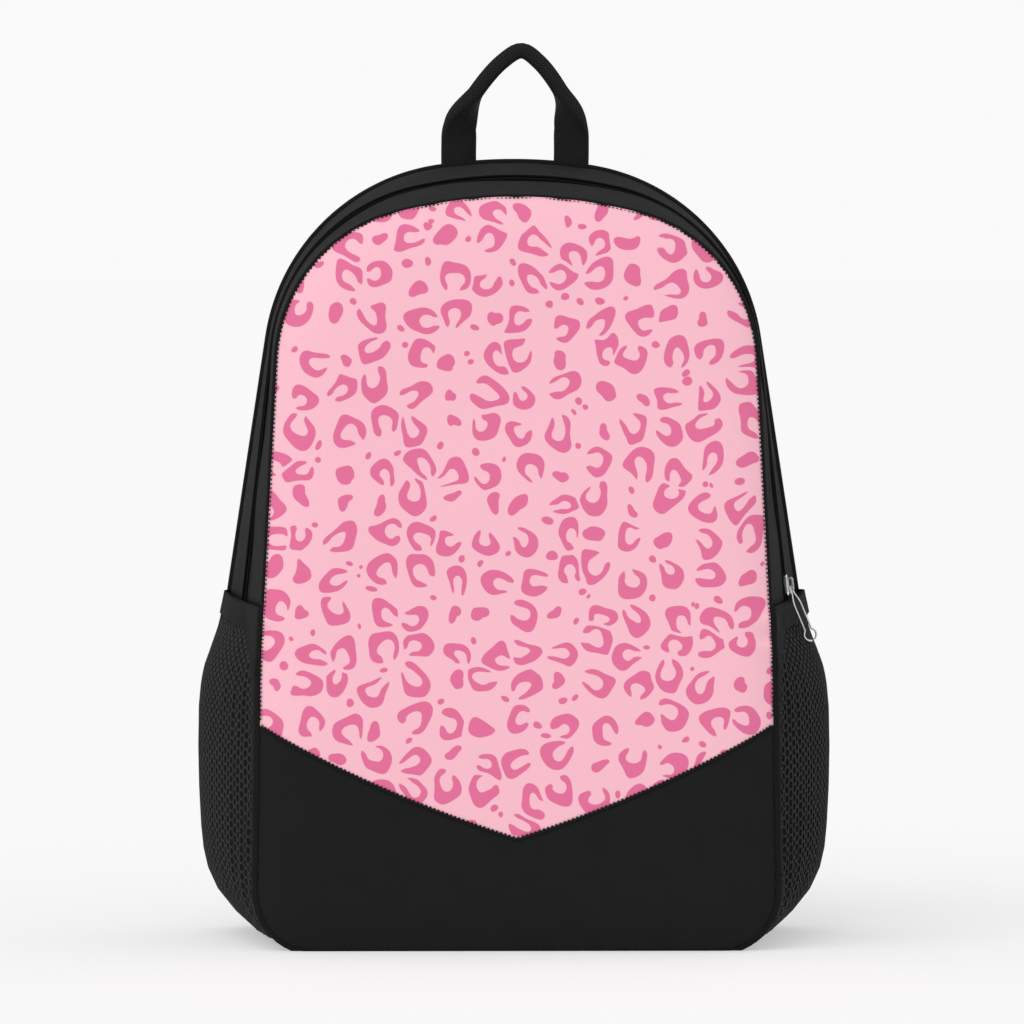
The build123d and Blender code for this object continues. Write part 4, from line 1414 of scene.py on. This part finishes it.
def strap_point(drop, across, deep):
    """Place in the right strap: across runs -1 to 1, deep from its inner face (0) to its outer (1)."""
    middle, out, half = strap_at(drop)
    height = STRAP_TOP.z - drop * STRAP_DROP
    return Vector((middle + across * half, STRAP_TOP.y + out + deep * STRAP_THICK, height))


def drop_of(point):
    return min(max((STRAP_TOP.z - point.z) / STRAP_DROP, 0), 1)


def rounded_power(value, power):
    return math.copysign(abs(value) ** power, value)


def strap_row(drop, trim=2.5 * MM, fullness=0.42):
    """Section of the strap's padding before it is filled, thinner towards its ends."""
    ends = min(drop, 1 - drop) * STRAP_DROP
    squeeze = 1 - 0.35 * math.exp(-ends / (5 * MM))
    _, _, half = strap_at(drop)
    narrow = (half - trim) / half
    section = []
    for turn in (2 * math.pi * k / 24 for k in range(24)):
        across = rounded_power(math.cos(turn), 0.35) * narrow
        deep = 0.5 + rounded_power(math.sin(turn), 0.8) * fullness * squeeze
        section.append(strap_point(drop, across, deep))
    return section


def on_strap_seam(co):
    middle, _, half = strap_at(drop_of(co))
    return abs(co.x - middle) > half - 7.5 * MM or not 0.02 <= drop_of(co) <= 0.98


pad = tube("strap_right", [strap_row(drop) for drop in steps(0.0, 1.0, 0.02)], strap_cloth)
swollen(pad, on_strap_seam, 2.2 * MM)
for vert in pad.data.vertices:
    middle, out, half = strap_at(drop_of(vert.co))
    inner = STRAP_TOP.y + out
    groove = quilting(half - abs(vert.co.x - middle), 9 * MM, 1.8 * MM)
    vert.co.y -= math.copysign(groove, vert.co.y - (inner + STRAP_THICK / 2))
    vert.co.y = min(max(vert.co.y, inner + 0.1 * MM), inner + STRAP_THICK - 0.1 * MM)
pad_other = mirrored(pad, "strap_left")

edge_line = (
    [strap_point(d, -1, 0.5) for d in steps(1.0, 0.0, 0.015)]
    + [strap_point(0.0, a, 0.5) for a in steps(-0.9, 0.9, 0.1)]
    + [strap_point(d, 1, 0.5) for d in steps(0.0, 1.0, 0.015)]
    + [strap_point(1.0, a, 0.5) for a in steps(0.9, -0.9, 0.15)]
)
BIND_IN, BIND_ACROSS, BIND_DEEP = 2.6 * MM, 2.4 * MM, 3.1 * MM  # binding's place and half sizes
rows = []
for p, way in zip(edge_line, directions(edge_line, closed=True)):
    heart = strap_point(min(max(drop_of(p), 0.02), 0.98), 0, 0.5)
    inward = ((heart - p) - way * (heart - p).dot(way)).normalized()
    face = way.cross(inward).normalized()
    turns = [2 * math.pi * k / 12 for k in range(12)]
    centre = p + inward * BIND_IN
    rows.append([centre + inward * BIND_ACROSS * math.cos(a) + face * BIND_DEEP * math.sin(a) for a in turns])
binding = tube("strap_right_binding", rows, piping_cloth, closed=True)
binding_other = mirrored(binding, "strap_left_binding")
for side, padding, edge in (("right", pad, binding), ("left", pad_other, binding_other)):
    carried(padding, "strap_cloth", "strap_pad_" + side, body="strap_" + side)
    carried(edge, "piping", "strap_binding_" + side, body="strap_" + side)

# ---- webbing, ladder locks and anchor tabs
lock = Vector((87, 80.85, 117)) * MM
anchor = Vector((HALF / MM - 32.5, 64.35, 39)) * MM
WEB_OUT = 2.9 * MM
WEB_THICK = 1.6 * MM
WEB_HALF = 12.5 * MM
run_down = (anchor - lock + Vector((0, WEB_OUT, 0))).normalized()
web_up = -run_down
web_out = (REARWARDS - run_down * run_down.y).normalized()
web_side = web_up.cross(web_out)
web_reach = (anchor - lock).length
BAND_SECTION = ((-1, -0.5), (-0.97, 0.5), (-0.5, 1), (0.5, 1), (0.97, 0.5), (1, -0.5), (0.5, -1), (-0.5, -1))


def band(name, path):
    """The strap's webbing, laid along a path."""
    half, thick = WEB_HALF - 0.3 * MM, WEB_THICK
    rows = []
    for p, way in zip(path, directions(path)):
        out = way.cross(web_side).normalized()
        rows.append([p + web_side * a * half + out * b * thick / 2 for a, b in BAND_SECTION])
    return tube(name, rows, webbing)


def on_web(up, out):
    """Place on the lower webbing's own line, measured up it from the lock and out from it."""
    return lock + web_up * up + web_out * out


def fold(centre, turn, sense):
    """Half turn of webbing round a bar, from its inner leg to its outer leg."""
    return [
        on_web(centre + sense * turn * math.sin(math.pi * k / 12), -turn * math.cos(math.pi * k / 12))
        for k in range(13)
    ]


# the loop that holds the lock to the strap
LOOP_BAR, LOOP_STEP = 8.5 * MM, 2.2 * MM
loop_path = [on_web(30 * MM - k * LOOP_STEP, -WEB_OUT) for k in range(10)]
loop_path += fold(LOOP_BAR, WEB_OUT, -1)
loop_path += [on_web(LOOP_BAR + k * LOOP_STEP, WEB_OUT) for k in range(1, 10)]
loop_web = band("lock_web_right", loop_path)

# the adjusting webbing: up from the anchor with a little sag, round the lock's bar, down as a hemmed tail
BEND_AT, WEB_STEPS, SAG = 0.45 * MM, 30, 0.4 * MM
TAIL, TAIL_STEPS = 62 * MM, 14
start = -web_reach + 0.5 * MM
low_path = [
    on_web(start + (BEND_AT - start) * share, -WEB_OUT - math.sin(math.pi * share) * SAG)
    for share in (k / WEB_STEPS for k in range(WEB_STEPS + 1))
]
low_path += fold(BEND_AT, WEB_OUT, 1)[1:]
low_path += [
    on_web(BEND_AT - TAIL * k / TAIL_STEPS, WEB_OUT + 1.2 * MM * (k / TAIL_STEPS) ** 2)
    for k in range(1, TAIL_STEPS + 1)
]
tail_end = low_path[-1]
for turn in (math.pi * k / 6 for k in range(1, 7)):
    outwards = web_out * 1.7 * MM * (1 - math.cos(turn)) / 2
    low_path.append(tail_end + outwards - web_up * 0.8 * MM * math.sin(turn))
hem_end = low_path[-1]
low_path += [hem_end + web_up * 2.4 * MM * k for k in range(1, 5)]
web = band("strap_web_right", low_path)

# the tab that lies on the back under the webbing's foot
flat_run = Vector((run_down.x, run_down.z)).normalized()
flat_side = Vector((-flat_run.y, flat_run.x))
middle = Vector((anchor.x, anchor.z))
near, far = middle + flat_run * 1.4 * MM, middle + flat_run * 19 * MM
wide, narrow = flat_side * 13.5 * MM, flat_side * 10.5 * MM
for side, sign in SIDES:
    if side == "left":
        loop_web, web = mirrored(loop_web, "lock_web_left"), mirrored(web, "strap_web_left")
    carried(loop_web, "webbing", "lock_loop_" + side, body="strap_" + side)
    carried(web, "webbing", "strap_webbing_" + side, body="strap_" + side)
    corners = [(sign * c.x, c.y) for c in (near + wide, near - wide, far - narrow, far + narrow)]
    tab = patch("anchor_" + side, corners, 3 * MM, black_cloth, thickness=2.8 * MM)
    carried(tab, "black_cloth", "anchor_tab_" + side)

# ---- zip pull
joints = {joint["name"]: joint for joint in frame["joints"]}
pull_at = Vector(joints["pull_swing"]["pos_m"])
zip_up = Vector(joints["slider_travel"]["axis"])
zip_side = Vector(joints["pull_swing"]["axis"])
LEAN = math.radians(17)
pull_down = zip_up * -math.cos(LEAN) + zip_up.cross(zip_side) * math.sin(LEAN)
pull_face = pull_down.cross(zip_side)
PULL, NECK, RING, FLARE, WIRE = 33 * MM, 1.9 * MM, 3.4 * MM, 1.6 * MM, 0.58 * MM


def pull_across(down):
    """Direction across the pull, which turns to face forwards below its neck."""
    angle = math.radians(12 + 66 * eased(down, 3 * MM, 12 * MM))
    return zip_side * math.cos(angle) + pull_face * math.sin(angle)


def half_wire():
    """Half of the bent wire, as distances across and down: bend, leg, flare and ring."""
    ring_at = PULL - 2 * WIRE - RING
    flare_rise = math.sqrt((RING + FLARE) ** 2 - (NECK + FLARE) ** 2)
    flare_turn = math.acos((NECK + FLARE) / (RING + FLARE))
    ring_turn = -math.asin(flare_rise / (RING + FLARE))
    leg = ring_at - flare_rise
    path = [(NECK * math.sin(a), NECK - NECK * math.cos(a)) for a in steps(0, math.pi / 2, 0.2)]
    path += [(NECK, NECK + (leg - NECK) * k / 24) for k in range(1, 25)]
    for a in steps(0, flare_turn, 0.2)[1:]:
        path.append((NECK + FLARE - FLARE * math.cos(a), leg + FLARE * math.sin(a)))
    for a in steps(ring_turn, math.pi / 2 - 0.05, 0.2)[1:]:
        path.append((RING * math.cos(a), ring_at + RING * math.sin(a)))
    return path


def wire_point(across, down):
    return pull_at + pull_across(down) * across + pull_down * down


wire = [wire_point(-across, down) for across, down in reversed(half_wire())]
wire += [wire_point(across, down) for across, down in half_wire()[1:]]
rows = []
for p, way in zip(wire, directions(wire)):
    face = pull_across((p - pull_at).dot(pull_down)).cross(pull_down).normalized()
    rows.append(ring(p, face, face.cross(way).normalized(), WIRE, 10))
carried(tube("wire_pull", rows, nickel), "slider_metal", "zip_pull", body="pull")


# ---- rigid pieces kept from the frame
for node, material in (
    ("zip_slider", nickel),
    ("ladder_lock_right", buckle_plastic),
    ("ladder_lock_left", buckle_plastic),
    ("base_board", board_plastic),
):
    mesh = frame["nodes"][node].data
    mesh.materials.clear()
    mesh.materials.append(material)

# ---- stage
floor_mesh = grid_mesh(21, 21, lambda i, j: Vector((-12 + 1.2 * i, -10 + 1.6 * j, 0)))
floor_look = Look("floor", (0.54, 0.54, 0.54), 1.0, Specular_IOR_Level=0.0)
floor_look.shader.inputs["Emission Color"].default_value = (1, 1, 1, 1)
floor_look.shader.inputs["Emission Strength"].default_value = 0.43
floor = finish_mesh(floor_mesh, "floor", floor_look.material)

scene = bpy.context.scene
scene.world = scene.world or bpy.data.worlds.new("studio")
scene.world.use_nodes = True
tree = scene.world.node_tree
background = tree.nodes["Background"]
background.inputs["Color"].default_value = (0.955, 0.955, 0.955, 1)
seen = tree.nodes.new("ShaderNodeLightPath")
strength = tree.nodes.new("ShaderNodeMapRange")
strength.inputs["To Min"].default_value = 0.80
strength.inputs["To Max"].default_value = 1.0
tree.links.new(seen.outputs["Is Camera Ray"], strength.inputs["Value"])
tree.links.new(strength.outputs[0], background.inputs["Strength"])

sun_data = bpy.data.lights.new("sun", "SUN")
sun_data.energy = 0.85
sun_data.angle = math.radians(50)
sun = bpy.data.objects.new("sun", sun_data)
sun.rotation_euler = Vector((0.45, 0.62, -0.85)).to_track_quat("-Z", "Y").to_euler()
scene.collection.objects.link(sun)

camera_data = bpy.data.cameras.new("camera")
camera_data.lens = 300
camera_data.sensor_width = 36
camera = bpy.data.objects.new("camera", camera_data)
target = Vector((-0.0027, -0.10, 0.2393))
azimuth, elevation, distance = math.radians(-0.75), math.radians(2.5), 4.622
camera.location = target + distance * Vector(
    (math.sin(azimuth) * math.cos(elevation), -math.cos(azimuth) * math.cos(elevation), math.sin(elevation))
)
camera.rotation_euler = (target - camera.location).to_track_quat("-Z", "Y").to_euler()
scene.collection.objects.link(camera)
scene.camera = camera
scene.view_settings.view_transform = "Standard"
